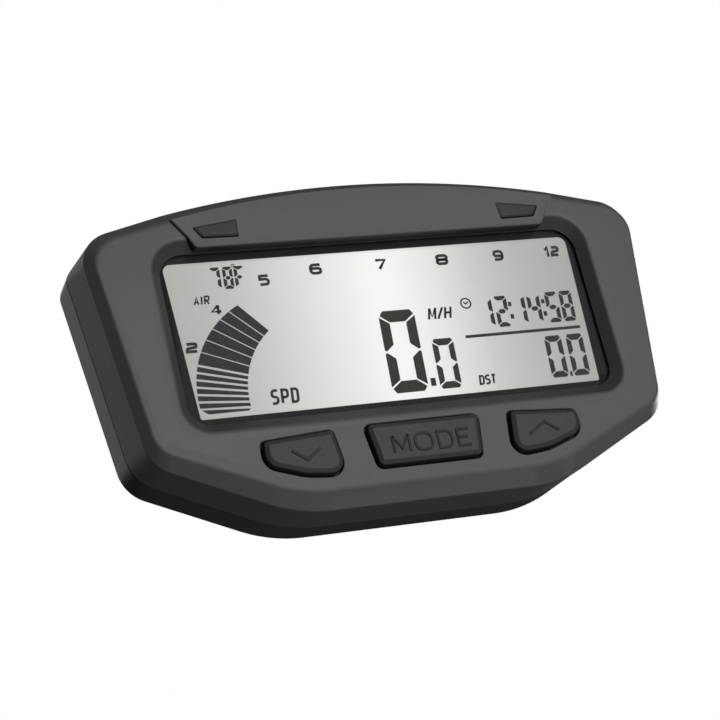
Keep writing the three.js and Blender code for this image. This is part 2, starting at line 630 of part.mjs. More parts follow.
function cellPieces() {
  const seat = BOARD_BACK + 0.05;
  const sheet = 0.3;
  const finger = CELL_DEPTHS[0] - 0.05;
  const top = CELL_DEPTHS[1] - 1.5;
  add('coin_cell', coinCell(), STEEL);
  add('battery_door', batteryDoor(), plastic(0x2c2c2c, 0.6));
  add('battery_door_seal', doorSeal(), RUBBER_BLACK);
  add('battery_contact_negative', strip([
    [-4, seat], [0.3, seat], [0.3, finger - sheet], [1.2, finger - sheet], [1.2, finger],
    [0, finger], [0, seat + sheet], [-4, seat + sheet],
  ], 3), BRASS);
  add('battery_contact_positive', strip([
    [-14, seat], [-10.2, seat], [-10.2, top], [-10.5, top], [-10.5, seat + sheet], [-14, seat + sheet],
  ], 3), BRASS);
}

// ---------------------------------------------------------------- back of the unit

function threadedInsert(x) {
  const back = PAD_DEPTH - 0.1;
  const middle = (INSERT_FRONT + back) / 2;
  return turned(x, 0, [
    [INSERT_BORE, INSERT_FRONT], [INSERT_RADIUS, INSERT_FRONT], [INSERT_RADIUS, middle - 0.4],
    [INSERT_RADIUS - 0.4, middle - 0.4], [INSERT_RADIUS - 0.4, middle + 0.4], [INSERT_RADIUS, middle + 0.4],
    [INSERT_RADIUS, back], [INSERT_BORE, back], [INSERT_BORE, INSERT_FRONT],
  ], 24);
}

function cableGland() {
  const wallFront = BACK_DEPTH - BACK_WALL;
  return turned(0, GLAND_Z, [
    [GLAND_BORE, GLAND_FRONT], [GLAND_FLANGE - 0.5, GLAND_FRONT], [GLAND_FLANGE - 0.3, wallFront - FIT],
    [GLAND_NECK, wallFront - FIT], [GLAND_NECK, BACK_DEPTH + 0.05], [GLAND_FLANGE, BACK_DEPTH + 0.05],
    [GLAND_FLANGE - 0.4, PAD_DEPTH - 0.1], [GLAND_BORE, PAD_DEPTH - 0.1],
    [GLAND_BORE, GLAND_FRONT],
  ], 32);
}

// ---------------------------------------------------------------- assembly

add('front_housing', frontHousing(), HOUSING_GREY);
add('rear_housing', rearHousing(), plastic(0x3a3a3a));
add('housing_seal', housingSeal(), RUBBER_BLACK);
add('visor', visor(), HOUSING_GREY);
for (const [name, side] of [['left', -1], ['right', 1]]) {
  add(`light_pipe_${name}`, lightPipe(side), SMOKED);
  add(`mounting_insert_${name}`, threadedInsert(side * INSERT_X), BRASS);
}
displayPieces();
keyPieces();
boardPieces();
cellPieces();
bothSides(HOUSING_POSTS).forEach(([x, z], i) => add(`housing_screw_${i + 1}`, housingScrew(x, z), STEEL));
add('cable_gland', cableGland(), RUBBER_BLACK);

export default cluster;
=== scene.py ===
"""Looks for the instrument cluster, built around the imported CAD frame.

Inside this script lengths are millimetres and a point is (x, depth, z): x to the rider's right, depth
behind the front face, z up. place() turns such a point into the frame's metres.
"""

import math
from collections import namedtuple

import bmesh
import bpy
from mathutils import Matrix, Quaternion, Vector


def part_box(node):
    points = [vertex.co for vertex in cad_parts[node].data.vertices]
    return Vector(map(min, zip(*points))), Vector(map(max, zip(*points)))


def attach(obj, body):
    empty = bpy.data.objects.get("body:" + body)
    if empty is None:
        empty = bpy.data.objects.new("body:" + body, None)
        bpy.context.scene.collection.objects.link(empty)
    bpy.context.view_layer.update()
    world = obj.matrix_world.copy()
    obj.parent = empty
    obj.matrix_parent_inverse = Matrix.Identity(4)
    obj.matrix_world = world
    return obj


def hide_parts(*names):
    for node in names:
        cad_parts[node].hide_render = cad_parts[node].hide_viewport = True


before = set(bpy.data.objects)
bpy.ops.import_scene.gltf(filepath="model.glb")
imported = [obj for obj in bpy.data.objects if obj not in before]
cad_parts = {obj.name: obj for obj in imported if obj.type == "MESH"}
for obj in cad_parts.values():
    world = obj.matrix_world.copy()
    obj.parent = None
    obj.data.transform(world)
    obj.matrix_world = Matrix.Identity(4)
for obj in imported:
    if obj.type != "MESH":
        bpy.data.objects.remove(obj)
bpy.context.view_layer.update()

MM = 0.001
FACE_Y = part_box("front_housing")[0].y

# ---------------------------------------------------------------- driving dimensions, in mm

ARCH_HALF = 40
ARCH_STEPS = 48
SIDE_LEAN = 0.121
BOTTOM_CORNER = 28
# The housing's outline at one depth; FACE to REAR are those at its four edges, front to back.
Level = namedtuple("Level", "arch_top arch_radius shoulder_slope side diagonal_start diagonal_slope "
                            "bottom upper_corner lower_corner")
FACE = Level(27.35, 180, -0.236, 53.3, -43.5, 0.435, -32.3, 6, 5)
SHOULDER = Level(29.7, 193, -0.25, 54.65, -47.95, 0.475, -35.45, 7, 7)
PARTING = Level(29.4, 193, -0.25, 54.8, -46.85, 0.475, -34.7, 3.5, 7.5)
REAR = Level(29.0, 193, -0.25, 54.9, -46.7, 0.475, -34.3, 3.5, 7.5)

CHAMFER = 1.4                 # nominal width of the front chamfer
SHOULDER_DEPTH = 2.8
FRONT_WALL = 2.2
PARTING_DEPTH = 14.0
PARTING_GAP = 0.15
REAR_EDGE_DEPTH = 21.0
BACK_DEPTH = 22.3
PAD_DEPTH = 23.3
REAR_FRONT = PARTING_DEPTH + PARTING_GAP
SIDE_WALL = 2.0
BACK_WALL = 2.0

VISOR_FRONT = -0.7
VISOR_BACK = 1.4
VISOR_LIP = 0.45              # radius of the rounded lower front edge
VISOR_EDGE = 0.15             # width of the bevel round the other edges
INDICATOR_LOW, INDICATOR_HIGH = 18.8, 22.2
INDICATOR_RISE = 0.4          # the indicator windows stand proud of the visor
INDICATOR_FLUSH = VISOR_FRONT - 0.05
PIPE_X, PIPE_Z = 31.6, 20.3   # middle of a light pipe's stem
PIPE_END = 7.2

KEY_FRONT = -1.6
KEY_RELIEF = 0.22             # how far a key's marking stands proud of its top
KEY_MOAT = 0.5
KEY_FLANGE_DEPTHS = (2.4, 3.2)
KEY_STEM_RADIUS = 1.8
KEY_STEM_DEPTHS = (3.0, 5.15)

LENS_DEPTHS = (2.5, 3.1)
BORDER_DEPTHS = (3.1, 3.2)
PAINTED_SHEEN_HALF = 42                # half the width of the painted reflection across the display face
INK_DEPTH = 3.19
INK_THICKNESS = 0.03
FIGURE_OFFSET = (-0.08, 0.16)  # from the window's centre to the figures' own origin
DIGIT_LEAN = 0.058            # x per z of the leaning figures
MITRE_LIMIT = 0.35            # keeps the outer corner of a sharp bend from growing long

SCREW_PLACES = [(side * x, z) for x, z in ((49.5, 14), (47.6, -17.5)) for side in (1, -1)]
SCREW_HEAD_DEPTHS = (19.6, 21.0)
SCREW_HOLE = 1.45
HEAD_HOLE, HEAD_HOLE_DEPTH = 2.45, 19.5
INSERT_X = 12
INSERT_HOLE, INSERT_HOLE_DEPTH = 3.55, 17.2
BOSS_RADIUS, BOSS_DEPTH = 5.2, 16.4
GLAND_Z = -18
GLAND_HOLE, GLAND_HOLE_DEPTH = 6.1, 19.0

WELL_X, WELL_Z = 36, 2
WELL_RADIUS, WELL_DEPTH = 14.6, 16.0
# Steps of the cell's well: radius, start and end depth.
CELL_STEP = (10.4, 16.7, BACK_DEPTH)
SEAL_STEP = (12.4, 19.3, BACK_DEPTH - 1)
LUG_STEP = (13.7, 20.5, 21.6)
MOUTH_STEP = (12.2, 20.5, BACK_DEPTH + 1)
DOOR_RADIUS = 11.9
DOOR_DEPTHS = (20.6, 22.2)
DOOR_TURN = 60                # degrees from the locked door to the notches that release it
LUG_RADIUS = 13.4
LUG_ANGLES = (0, 180)

Corner = namedtuple("Corner", "x z r steps", defaults=(0, 1))
SMALLEST_RADIUS = 0.25        # an inset corner keeps at least this rounding


def place(x, depth, z):
    return Vector((x * MM, FACE_Y + depth * MM, z * MM))


# ---------------------------------------------------------------- outlines in the X-Z plane
#
# An outline is a list of Corners, anticlockwise as seen from the front.


def mirrored(corners):
    return [c._replace(x=-c.x) for c in reversed(corners)]


def unit(a, b):
    length = math.hypot(b.x - a.x, b.z - a.z)
    return (b.x - a.x) / length, (b.z - a.z) / length


def meet(p, d, q, e):
    """Where the line through p along d crosses the line through q along e."""
    along = ((q[0] - p[0]) * e[1] - (q[1] - p[1]) * e[0]) / (d[0] * e[1] - d[1] * e[0])
    return p[0] + along * d[0], p[1] + along * d[1]


def inset_outline(corners, inset):
    """Moves every edge of a convex outline inwards, or outwards for a negative inset."""
    moved = []
    for i, corner in enumerate(corners):
        before, after = corners[i - 1], corners[(i + 1) % len(corners)]
        d, e = unit(before, corner), unit(corner, after)
        p = (before.x - d[1] * inset, before.z + d[0] * inset)
        q = (corner.x - e[1] * inset, corner.z + e[0] * inset)
        x, z = meet(p, d, q, e)
        radius = max(corner.r - inset, SMALLEST_RADIUS) if corner.r else 0
        moved.append(corner._replace(x=x, z=z, r=radius))
    return moved


def corner_arc(before, corner, after):
    """Points of the arc that rounds a corner, or the corner itself where it is sharp or straight."""
    d, e = unit(corner, before), unit(corner, after)
    half = math.acos(max(-1, min(1, d[0] * e[0] + d[1] * e[1]))) / 2
    if not corner.r or half > math.pi / 2 - 0.001:
        return [(corner.x, corner.z)]
    middle = math.hypot(d[0] + e[0], d[1] + e[1])
    to_centre = corner.r / math.sin(half) / middle
    centre = (corner.x + (d[0] + e[0]) * to_centre, corner.z + (d[1] + e[1]) * to_centre)
    reach = corner.r / math.tan(half)
    start = math.atan2(corner.z + d[1] * reach - centre[1], corner.x + d[0] * reach - centre[0])
    turn = 1 if d[0] * e[1] - d[1] * e[0] < 0 else -1
    sweep = turn * (math.pi - 2 * half)
    angles = [start + sweep * i / corner.steps for i in range(corner.steps + 1)]
    return [(centre[0] + corner.r * math.cos(a), centre[1] + corner.r * math.sin(a)) for a in angles]


def rounded(corners):
    """Points of every corner but the first and the last."""
    return [p for a, b, c in zip(corners, corners[1:], corners[2:]) for p in corner_arc(a, b, c)]


def closed_points(corners):
    return rounded([corners[-1], *corners, corners[0]])


def open_points(corners):
    """The same for a path that doesn't close: its two ends stay as they are."""
    return [(corners[0].x, corners[0].z), *rounded(corners), (corners[-1].x, corners[-1].z)]


def circle_points(x, z, radius, count):
    angles = (2 * math.pi * i / count for i in range(count))
    return [(x + radius * math.cos(a), z + radius * math.sin(a)) for a in angles]


def arch_height(level, x):
    """Height of the arched top edge."""
    return level.arch_top - x * x / (2 * level.arch_radius)


def housing_outline(level, inset=0.0):
    """The housing's outline at a level: each straight edge is a point and a direction."""
    top = ((ARCH_HALF, arch_height(level, ARCH_HALF)), (1, level.shoulder_slope))
    side = ((level.side, 0), (SIDE_LEAN, 1))
    diagonal = ((0, level.diagonal_start), (1, level.diagonal_slope))
    bottom = ((0, level.bottom), (1, 0))
    right = [
        Corner(*meet(*bottom, *diagonal), BOTTOM_CORNER, 12),
        Corner(*meet(*diagonal, *side), level.lower_corner, 12),
        Corner(*meet(*side, *top), level.upper_corner, 16),
    ]
    across = [ARCH_HALF - 2 * ARCH_HALF * i / ARCH_STEPS for i in range(ARCH_STEPS + 1)]
    arch = [Corner(x, arch_height(level, x)) for x in across]
    return closed_points(inset_outline([*right, *arch, *mirrored(right)], inset))


def window_outline(half, top, bottom, upper_radius, lower_radius):
    """A rounded rectangle, the same on both sides of the middle."""
    right = [Corner(half, bottom, lower_radius, 12), Corner(half, top, upper_radius, 12)]
    return [*right, *mirrored(right)]


def blend_level(a, b, t):
    return Level(*(p + (q - p) * t for p, q in zip(a, b)))


RECESS_HALF, RECESS_TOP = 45.0, 19.4      # just outside the mouth of the recess
RECESS = window_outline(44.9, 19.2, -19.3, 6.5, 5.5)
RECESS_FLOOR = window_outline(42.95, 16.9, -17.0, 4.8, 4.0)
LENS = window_outline(43.9, 18.2, -18.2, 4, 4)
# The clear part of the window, inside its printed border.
VIEW_RIGHT = [Corner(40.62, -15.56, 0.5, 5), Corner(41.87, 15.56, 1.6, 10)]
VIEW = [*VIEW_RIGHT, *mirrored(VIEW_RIGHT)]


def visor_corners(lift=0.0):
    """The visor's outline; lift raises its lower edge."""
    right = [Corner(35.8, 16.9 + lift, 1.2, 6), Corner(37.0, 19.4), Corner(39.5, arch_height(FACE, 39.5))]
    arch = [Corner(x, arch_height(FACE, x)) for x in range(38, -39, -2)]
    return [*right, *arch, *mirrored(right)]


def indicator_corners():
    """The pointed window on the rider's right."""
    return [Corner(27.1, INDICATOR_LOW, 0.4, 4), Corner(34.1, 18.9, 0.6, 5), Corner(35.6, 21.0, 0.3, 4),
            Corner(26.8, INDICATOR_HIGH, 0.3, 4)]


def indicator_opening():
    """The visor's opening for that window: it leaves a shadow gap along the lower edge and the point."""
    gap = 0.3
    inner_low, outer_low, point, inner_high = indicator_corners()
    return [inner_low._replace(z=inner_low.z - gap),
            outer_low._replace(x=outer_low.x + gap / 2, z=outer_low.z - gap),
            point._replace(x=point.x + 0.22), inner_high]


def mode_corners():
    right = [Corner(10.6, -29.65, 1.5, 8), Corner(11.8, -20.75, 1.5, 8)]
    return [*right, *mirrored(right)]


def arrow_corners():
    """The arrow key on the rider's right."""
    return [Corner(16.3, -30.4, 3.0, 10), Corner(24.5, -29.6, 12, 8), Corner(32.2, -27.0, 3.2, 10),
            Corner(31.8, -21.9, 1.2, 8), Corner(17.5, -20.95, 1.2, 8)]


KEYS = {"down": mirrored(arrow_corners()), "mode": mode_corners(), "up": arrow_corners()}

# ---------------------------------------------------------------- mesh helpers


def new_object(name, data):
    obj = bpy.data.objects.new(name, data)
    bpy.context.scene.collection.objects.link(obj)
    return obj


def built(name, build):
    """An object whose mesh is filled by build(bm), with its normals facing out."""
    bm = bmesh.new()
    build(bm)
    bmesh.ops.recalc_face_normals(bm, faces=bm.faces)
    mesh = bpy.data.meshes.new(name)
    bm.to_mesh(mesh)
    bm.free()
    return new_object(name, mesh)


def loft(name, rings):
    """A closed body through rings of equal count: [(depth, [(x, z), ...]), ...], front to back."""
    def build(bm):
        loops = [[bm.verts.new(place(x, depth, z)) for x, z in points] for depth, points in rings]
        for front, back in zip(loops, loops[1:]):
            for i in range(len(front)):
                j = (i + 1) % len(front)
                bm.faces.new((front[i], back[i], back[j], front[j]))
        bm.faces.new(loops[0])
        bm.faces.new(reversed(loops[-1]))

    return built(name, build)


def inset_loft(name, corners, section):
    """A loft of one outline: the section is a path of Corners (inset, depth, radius, steps)."""
    return loft(name, [(depth, closed_points(inset_outline(corners, inset)))
                       for inset, depth in open_points(section)])


def bake(obj):
    """Applies an object's modifiers."""
    evaluated = obj.evaluated_get(bpy.context.evaluated_depsgraph_get())
    mesh = bpy.data.meshes.new_from_object(evaluated)
    obj.modifiers.clear()
    obj.data = mesh


def combine(obj, others, operation="DIFFERENCE"):
    """Cuts the others out of an object, or joins them to it, and removes them."""
    for other in others:
        modifier = obj.modifiers.new("boolean", "BOOLEAN")
        modifier.operation = operation
        modifier.solver = "EXACT"
        modifier.object = other
    bake(obj)
    for other in others:
        bpy.data.objects.remove(other, do_unlink=True)


def smooth(obj):
    """Smooth shading that keeps edges of over 30 degrees sharp and flat faces flat."""
    obj.data.shade_smooth()
    obj.data.set_sharp_from_angle(angle=math.radians(30))
    modifier = obj.modifiers.new("weighted normals", "WEIGHTED_NORMAL")
    modifier.keep_sharp = True
    modifier.weight = 90
    return obj


def settle(obj, material, body, slot, *replaced):
    """Gives a finished piece its material, its body and the CAD nodes that it stands for."""
    obj.data.materials.clear()
    obj.data.materials.append(material)
    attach(obj, body)
    if replaced:
        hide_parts(*replaced)


def rod(name, x, z, radius, front, back, segments=48):
    points = circle_points(x, z, radius, segments)
    return loft(name, [(front, points), (back, points)])


def turned(name, x, z, section, segments=64):
    """A body of revolution about a line along the depth; section is a closed list of (radius, depth)."""
    def build(bm):
        rings = [[bm.verts.new(place(px, depth, pz)) for px, pz in circle_points(x, z, radius, segments)]
                 for radius, depth in section]
        for ring, following in zip(rings, [*rings[1:], rings[0]]):
            for i in range(segments):
                j = (i + 1) % segments
                bm.faces.new((ring[i], following[i], following[j], ring[j]))
        bmesh.ops.remove_doubles(bm, verts=bm.verts, dist=1e-7)

    return built(name, build)


# ---------------------------------------------------------------- materials


class Nodes:
    """The node tree of a material or a world, with short calls for its nodes and links."""

    def __init__(self, owner, output="ShaderNodeOutputMaterial"):
        owner.use_nodes = True
        self.owner = owner
        self.tree = owner.node_tree
        self.tree.nodes.clear()
        self.output = self.add(output)

    @classmethod
    def material(cls, name):
        return cls(bpy.data.materials.new(name))

    def add(self, kind, inputs=None, **settings):
        node = self.tree.nodes.new(kind)
        for key, value in settings.items():
            setattr(node, key, value)
        for key, value in (inputs or {}).items():
            if isinstance(value, bpy.types.NodeSocket):
                self.tree.links.new(value, node.inputs[key])
            else:
                node.inputs[key].default_value = value
        return node

    def where(self):
        return self.add("ShaderNodeTexCoord").outputs["Object"]

    def axes(self):
        return self.add("ShaderNodeSeparateXYZ", {0: self.where()}).outputs

    def noise(self, scale, detail):
        node = self.add("ShaderNodeTexNoise", {"Vector": self.where(), "Scale": scale, "Detail": detail})
        return node.outputs["Fac"]

    def bump(self, height, strength, distance):
        node = self.add("ShaderNodeBump", {"Height": height, "Strength": strength, "Distance": distance * MM})
        return node.outputs["Normal"]

    def remap(self, value, low, high):
        node = self.add("ShaderNodeMapRange", {"Value": value, "To Min": low, "To Max": high})
        return node.outputs["Result"]

    def between(self, factor, a, b):
        """A mix of two colours, each a socket or three numbers."""
        node = self.add("ShaderNodeMix", data_type="RGBA")
        self.tree.links.new(factor, node.inputs["Factor"])
        for socket, value in (("A", a), ("B", b)):
            target = [s for s in node.inputs if s.name == socket and s.type == "RGBA"][0]
            if isinstance(value, bpy.types.NodeSocket):
                self.tree.links.new(value, target)
            else:
                target.default_value = (*value, 1)
        return [s for s in node.outputs if s.type == "RGBA"][0]

    def painted_recess_shade_mask(self, depth):
        """Mask of the painted shade: 1 on the walls of the display recess behind a depth and 0 elsewhere,
        with a soft step.
        """
        axes = self.axes()
        step = self.add("ShaderNodeMapRange", {
            "Value": axes["Y"], "From Min": place(0, depth - 0.2, 0).y,
            "From Max": place(0, depth + 0.2, 0).y})
        inside = step.outputs["Result"]
        for axis, limit in (("X", RECESS_HALF), ("Z", RECESS_TOP)):
            size = self.add("ShaderNodeMath", {0: axes[axis]}, operation="ABSOLUTE")
            near = self.add("ShaderNodeMath", {0: size.outputs[0], 1: limit * MM}, operation="LESS_THAN")
            both = self.add("ShaderNodeMath", {0: inside, 1: near.outputs[0]}, operation="MULTIPLY")
            inside = both.outputs[0]
        return inside

    def finish(self, shader):
        self.tree.links.new(shader.outputs[0], self.output.inputs["Surface"])
        return self.owner

    def principled(self, color, roughness, specular, **others):
        return self.finish(self.add("ShaderNodeBsdfPrincipled", {
            "Base Color": color, "Roughness": roughness, "Specular IOR Level": specular, **others}))


def grey(level):
    return level, level, level


def scaled(color, factor):
    return tuple(min(c * factor, 1.0) for c in color)


def moulded(name, color, roughness, grain=0.25, specular=0.35, recess=None):
    """Fine spark-eroded moulded plastic: even colour with a slight drift, a fine grain, paler edges.

    recess is (depth, shade): behind that depth the walls of the display recess get painted shade, darker by
    that factor.
    """
    n = Nodes.material(name)
    drift = n.noise(38, 3)
    tone = n.between(drift, scaled(color, 0.93), scaled(color, 1.06))
    edges = n.add("ShaderNodeNewGeometry").outputs["Pointiness"]
    edge = n.add("ShaderNodeMapRange", {"Value": edges, "From Min": 0.52, "From Max": 0.6, "To Max": 0.35})
    pale_edges_and_recess_shade = n.between(edge.outputs["Result"], tone, scaled(color, 1.5))
    # painted shade: the walls of the display recess are darkened where shadow falls
    if recess:
        depth, shade = recess
        pale_edges_and_recess_shade = n.between(n.painted_recess_shade_mask(depth), pale_edges_and_recess_shade, scaled(color, shade))
    rough = n.remap(n.noise(900, 2), roughness - 0.06, roughness + 0.06)
    return n.principled(pale_edges_and_recess_shade, rough, specular, Normal=n.bump(n.noise(5200, 3), grain, 0.03))


def rubber(name, color):
    n = Nodes.material(name)
    dusty = n.between(n.noise(260, 5), scaled(color, 0.85), scaled(color, 1.35))
    return n.principled(dusty, 0.82, 0.25, Normal=n.bump(n.noise(2600, 4), 0.3, 0.04))


def metal(name, color, roughness, anisotropic=0.0):
    n = Nodes.material(name)
    tone = n.between(n.noise(420, 4), scaled(color, 0.82), color)
    rough = n.remap(n.noise(1500, 3), roughness - 0.08, roughness + 0.12)
    return n.principled(tone, rough, 0.5, Metallic=1.0, Anisotropic=anisotropic,
                        Normal=n.bump(n.noise(4200, 2), 0.12, 0.02))


def clear(name, tint, gloss=0.35):
    """Thin clear plastic or glass: it lets light straight through and has a faint soft reflection."""
    n = Nodes.material(name)
    through = n.add("ShaderNodeBsdfTransparent", {"Color": (*tint, 1)})
    shine = n.add("ShaderNodeBsdfGlossy", {"Roughness": n.remap(n.noise(700, 2), 0.06, 0.12)})
    fresnel = n.add("ShaderNodeFresnel", {"IOR": 1.45})
    amount = n.add("ShaderNodeMath", {0: fresnel.outputs[0], 1: gloss}, operation="MULTIPLY")
    mixed = n.add("ShaderNodeMixShader", {0: amount.outputs[0], 1: through.outputs[0], 2: shine.outputs[0]})
    return n.finish(mixed)


def display_face_with_painted_sheen(name):
    """The silvery face, with a painted reflection: brightest near the middle and greyer at both ends."""
    n = Nodes.material(name)
    across = n.add("ShaderNodeMapRange", {
        "Value": n.axes()["X"], "From Min": -PAINTED_SHEEN_HALF * MM, "From Max": PAINTED_SHEEN_HALF * MM})
    ramp = n.add("ShaderNodeValToRGB", {"Fac": across.outputs["Result"]})
    ramp.color_ramp.interpolation = "B_SPLINE"
    # painted reflection: grey stops from a darker left end through the bright middle to a darker right end
    sheen_stops = [(0.0, (0.39, 0.39, 0.371)), (0.2, (0.5, 0.5, 0.481)), (0.43, (0.83, 0.825, 0.82)),
             (0.56, (0.87, 0.865, 0.865)), (0.75, (0.475, 0.475, 0.461)), (1.0, (0.325, 0.325, 0.311))]
    ramp.color_ramp.elements.remove(ramp.color_ramp.elements[0])
    for i, (at, color) in enumerate(sheen_stops):
        element = ramp.color_ramp.elements[0] if i == 0 else ramp.color_ramp.elements.new(at)
        element.position = at
        element.color = (*color, 1)
    speckle = n.remap(n.noise(9000, 2), 0.96, 1.04)
    tone = n.add("ShaderNodeVectorMath", {0: ramp.outputs["Color"], 1: speckle}, operation="MULTIPLY")
    return n.principled(tone.outputs[0], 0.6, 0.05)


def ink(name):
    n = Nodes.material(name)
    tone = n.between(n.noise(1200, 2), (0.026, 0.026, 0.025), (0.036, 0.036, 0.034))
    return n.principled(tone, 0.6, 0.02)


# The housing's display recess walls carry painted shade, 0.52 of the plastic's grey.
HOUSING = moulded("housing plastic", grey(0.056), 0.46, 0.25, 0.16, recess=(0.4, 0.52))
# The visor's underside and the back of its lower lip carry painted shade, nearly black.
VISOR_PLASTIC = moulded("visor plastic", grey(0.056), 0.46, 0.25, 0.16, recess=(-0.4, 0.1))
REAR_PLASTIC = moulded("rear housing plastic", grey(0.012), 0.36, 0.25, 0.3)
KEY_PLASTIC = moulded("key plastic", grey(0.025), 0.5, 0.25, 0.17)
# The markings are darker than the keys: painted shade standing for the dark edges of the raised strokes.
KEY_MARK_PAINTED_SHADE = moulded("key marking", grey(0.011), 0.5, 0.25, 0.12)
BLACK_RUBBER = rubber("black rubber", grey(0.018))
MASK = moulded("printed border", grey(0.016), 0.6, 0.05, 0.02)
SMOKED = moulded("smoked light pipe", grey(0.032), 0.4, 0.05, 0.11)
WINDOW = clear("clear window", grey(0.975), 0.03)
GLASS = clear("display glass", (0.93, 0.96, 0.95))
LCD_FACE_WITH_PAINTED_SHEEN = display_face_with_painted_sheen("display face")
LCD_INK = ink("display figures")
STEEL = metal("zinc plated steel", (0.62, 0.63, 0.64), 0.32)
CELL_STEEL = metal("stainless can", (0.66, 0.67, 0.68), 0.25, 0.4)
BRASS = metal("brass", (0.71, 0.52, 0.22), 0.3)
WHITE = moulded("white moulding", (0.72, 0.72, 0.69), 0.5)
BOARD = moulded("solder mask", (0.012, 0.09, 0.035), 0.38, 0.1, 0.5)
CHIP = moulded("moulded package", (0.012, 0.012, 0.013), 0.5)
ZEBRA = rubber("conductive rubber", (0.18, 0.08, 0.08))
LED = moulded("lamp package", (0.75, 0.68, 0.42), 0.3)
AMBER = moulded("amber lamp", (0.7, 0.25, 0.04), 0.3)
HEADER = moulded("nylon header", (0.7, 0.66, 0.56), 0.5)
REFLECTOR = metal("reflector film", (0.75, 0.75, 0.73), 0.5)

# ---------------------------------------------------------------- housings


def front_level(sweep, depth):
    """The housing's outline at a nominal sweep across the chamfer and a depth."""
    across = blend_level(FACE, SHOULDER, sweep / CHAMFER)
    down = max(0.0, (depth - SHOULDER_DEPTH) / (PARTING_DEPTH - SHOULDER_DEPTH))
    return Level(*(a + (q - p) * down for a, p, q in zip(across, SHOULDER, PARTING)))


def key_cutter(name, corners):
    """The opening round a key, with a small rounded mouth."""
    section = [Corner(-0.3, -1), Corner(-0.14, -0.02), Corner(0, 0.14, 0.15, 5), Corner(0, FRONT_WALL + 1)]
    return inset_loft(name, corners, section)


def recess_cutter():
    """The display recess: a rounded mouth, then walls that narrow to the outline of its floor."""
    narrowing = RECESS[0].x - RECESS_FLOOR[0].x
    section = [Corner(-0.7, -1), Corner(-0.55, -0.02), Corner(0.15, 0.3, 0.6, 6),
               Corner(narrowing, FRONT_WALL)]
    rings = []
    for inset, depth in open_points(section):
        t = max(0.0, depth / FRONT_WALL)
        base = [a._replace(x=a.x + (b.x - a.x) * t, z=a.z + (b.z - a.z) * t, r=a.r + (b.r - a.r) * t)
                for a, b in zip(RECESS, RECESS_FLOOR)]
        rings.append((depth, closed_points(inset_outline(base, inset - narrowing * t))))
    rings.append((FRONT_WALL + 1, closed_points(RECESS_FLOOR)))
    return loft("recess cutter", rings)


def front_housing():
    """The shell, with its cavity, the display recess, the visor's pocket and the key openings."""
    section = [Corner(-1.0, 0), Corner(0, 0, 0.7, 6), Corner(CHAMFER, SHOULDER_DEPTH, 1.0, 6),
               Corner(CHAMFER, PARTING_DEPTH, 0.15, 3), Corner(CHAMFER - 0.5, PARTING_DEPTH)]
    shell = loft("front_housing_shell", [(depth, housing_outline(front_level(sweep, depth)))
                                         for sweep, depth in open_points(section)])
    inner = housing_outline(PARTING, SIDE_WALL)
    cavity = loft("cavity", [(FRONT_WALL, inner), (PARTING_DEPTH + 1, inner)])
    pocket = inset_loft("pocket", visor_corners(), [
        Corner(-0.1, -1), Corner(-0.1, -0.02), Corner(-0.06, 0.06), Corner(-0.06, VISOR_BACK + 0.1)])
    keys = [key_cutter(f"opening {name}", corners) for name, corners in KEYS.items()]
    combine(shell, [cavity, recess_cutter(), pocket, *keys])
    settle(smooth(shell), HOUSING, "housing", "housing_plastic", "front_housing")


def rear_level(depth):
    return blend_level(PARTING, REAR, min(1.0, (depth - REAR_FRONT) / (REAR_EDGE_DEPTH - REAR_FRONT)))


def head_hole(x, z):
    """The counterbore of a housing screw, with a slightly flared mouth."""
    mouth = HEAD_HOLE + 0.25
    return turned("head hole", x, z, [
        (0, HEAD_HOLE_DEPTH), (HEAD_HOLE, HEAD_HOLE_DEPTH), (HEAD_HOLE, BACK_DEPTH - 0.2),
        (mouth, BACK_DEPTH + 0.02), (mouth, BACK_DEPTH + 1), (0, BACK_DEPTH + 1)])


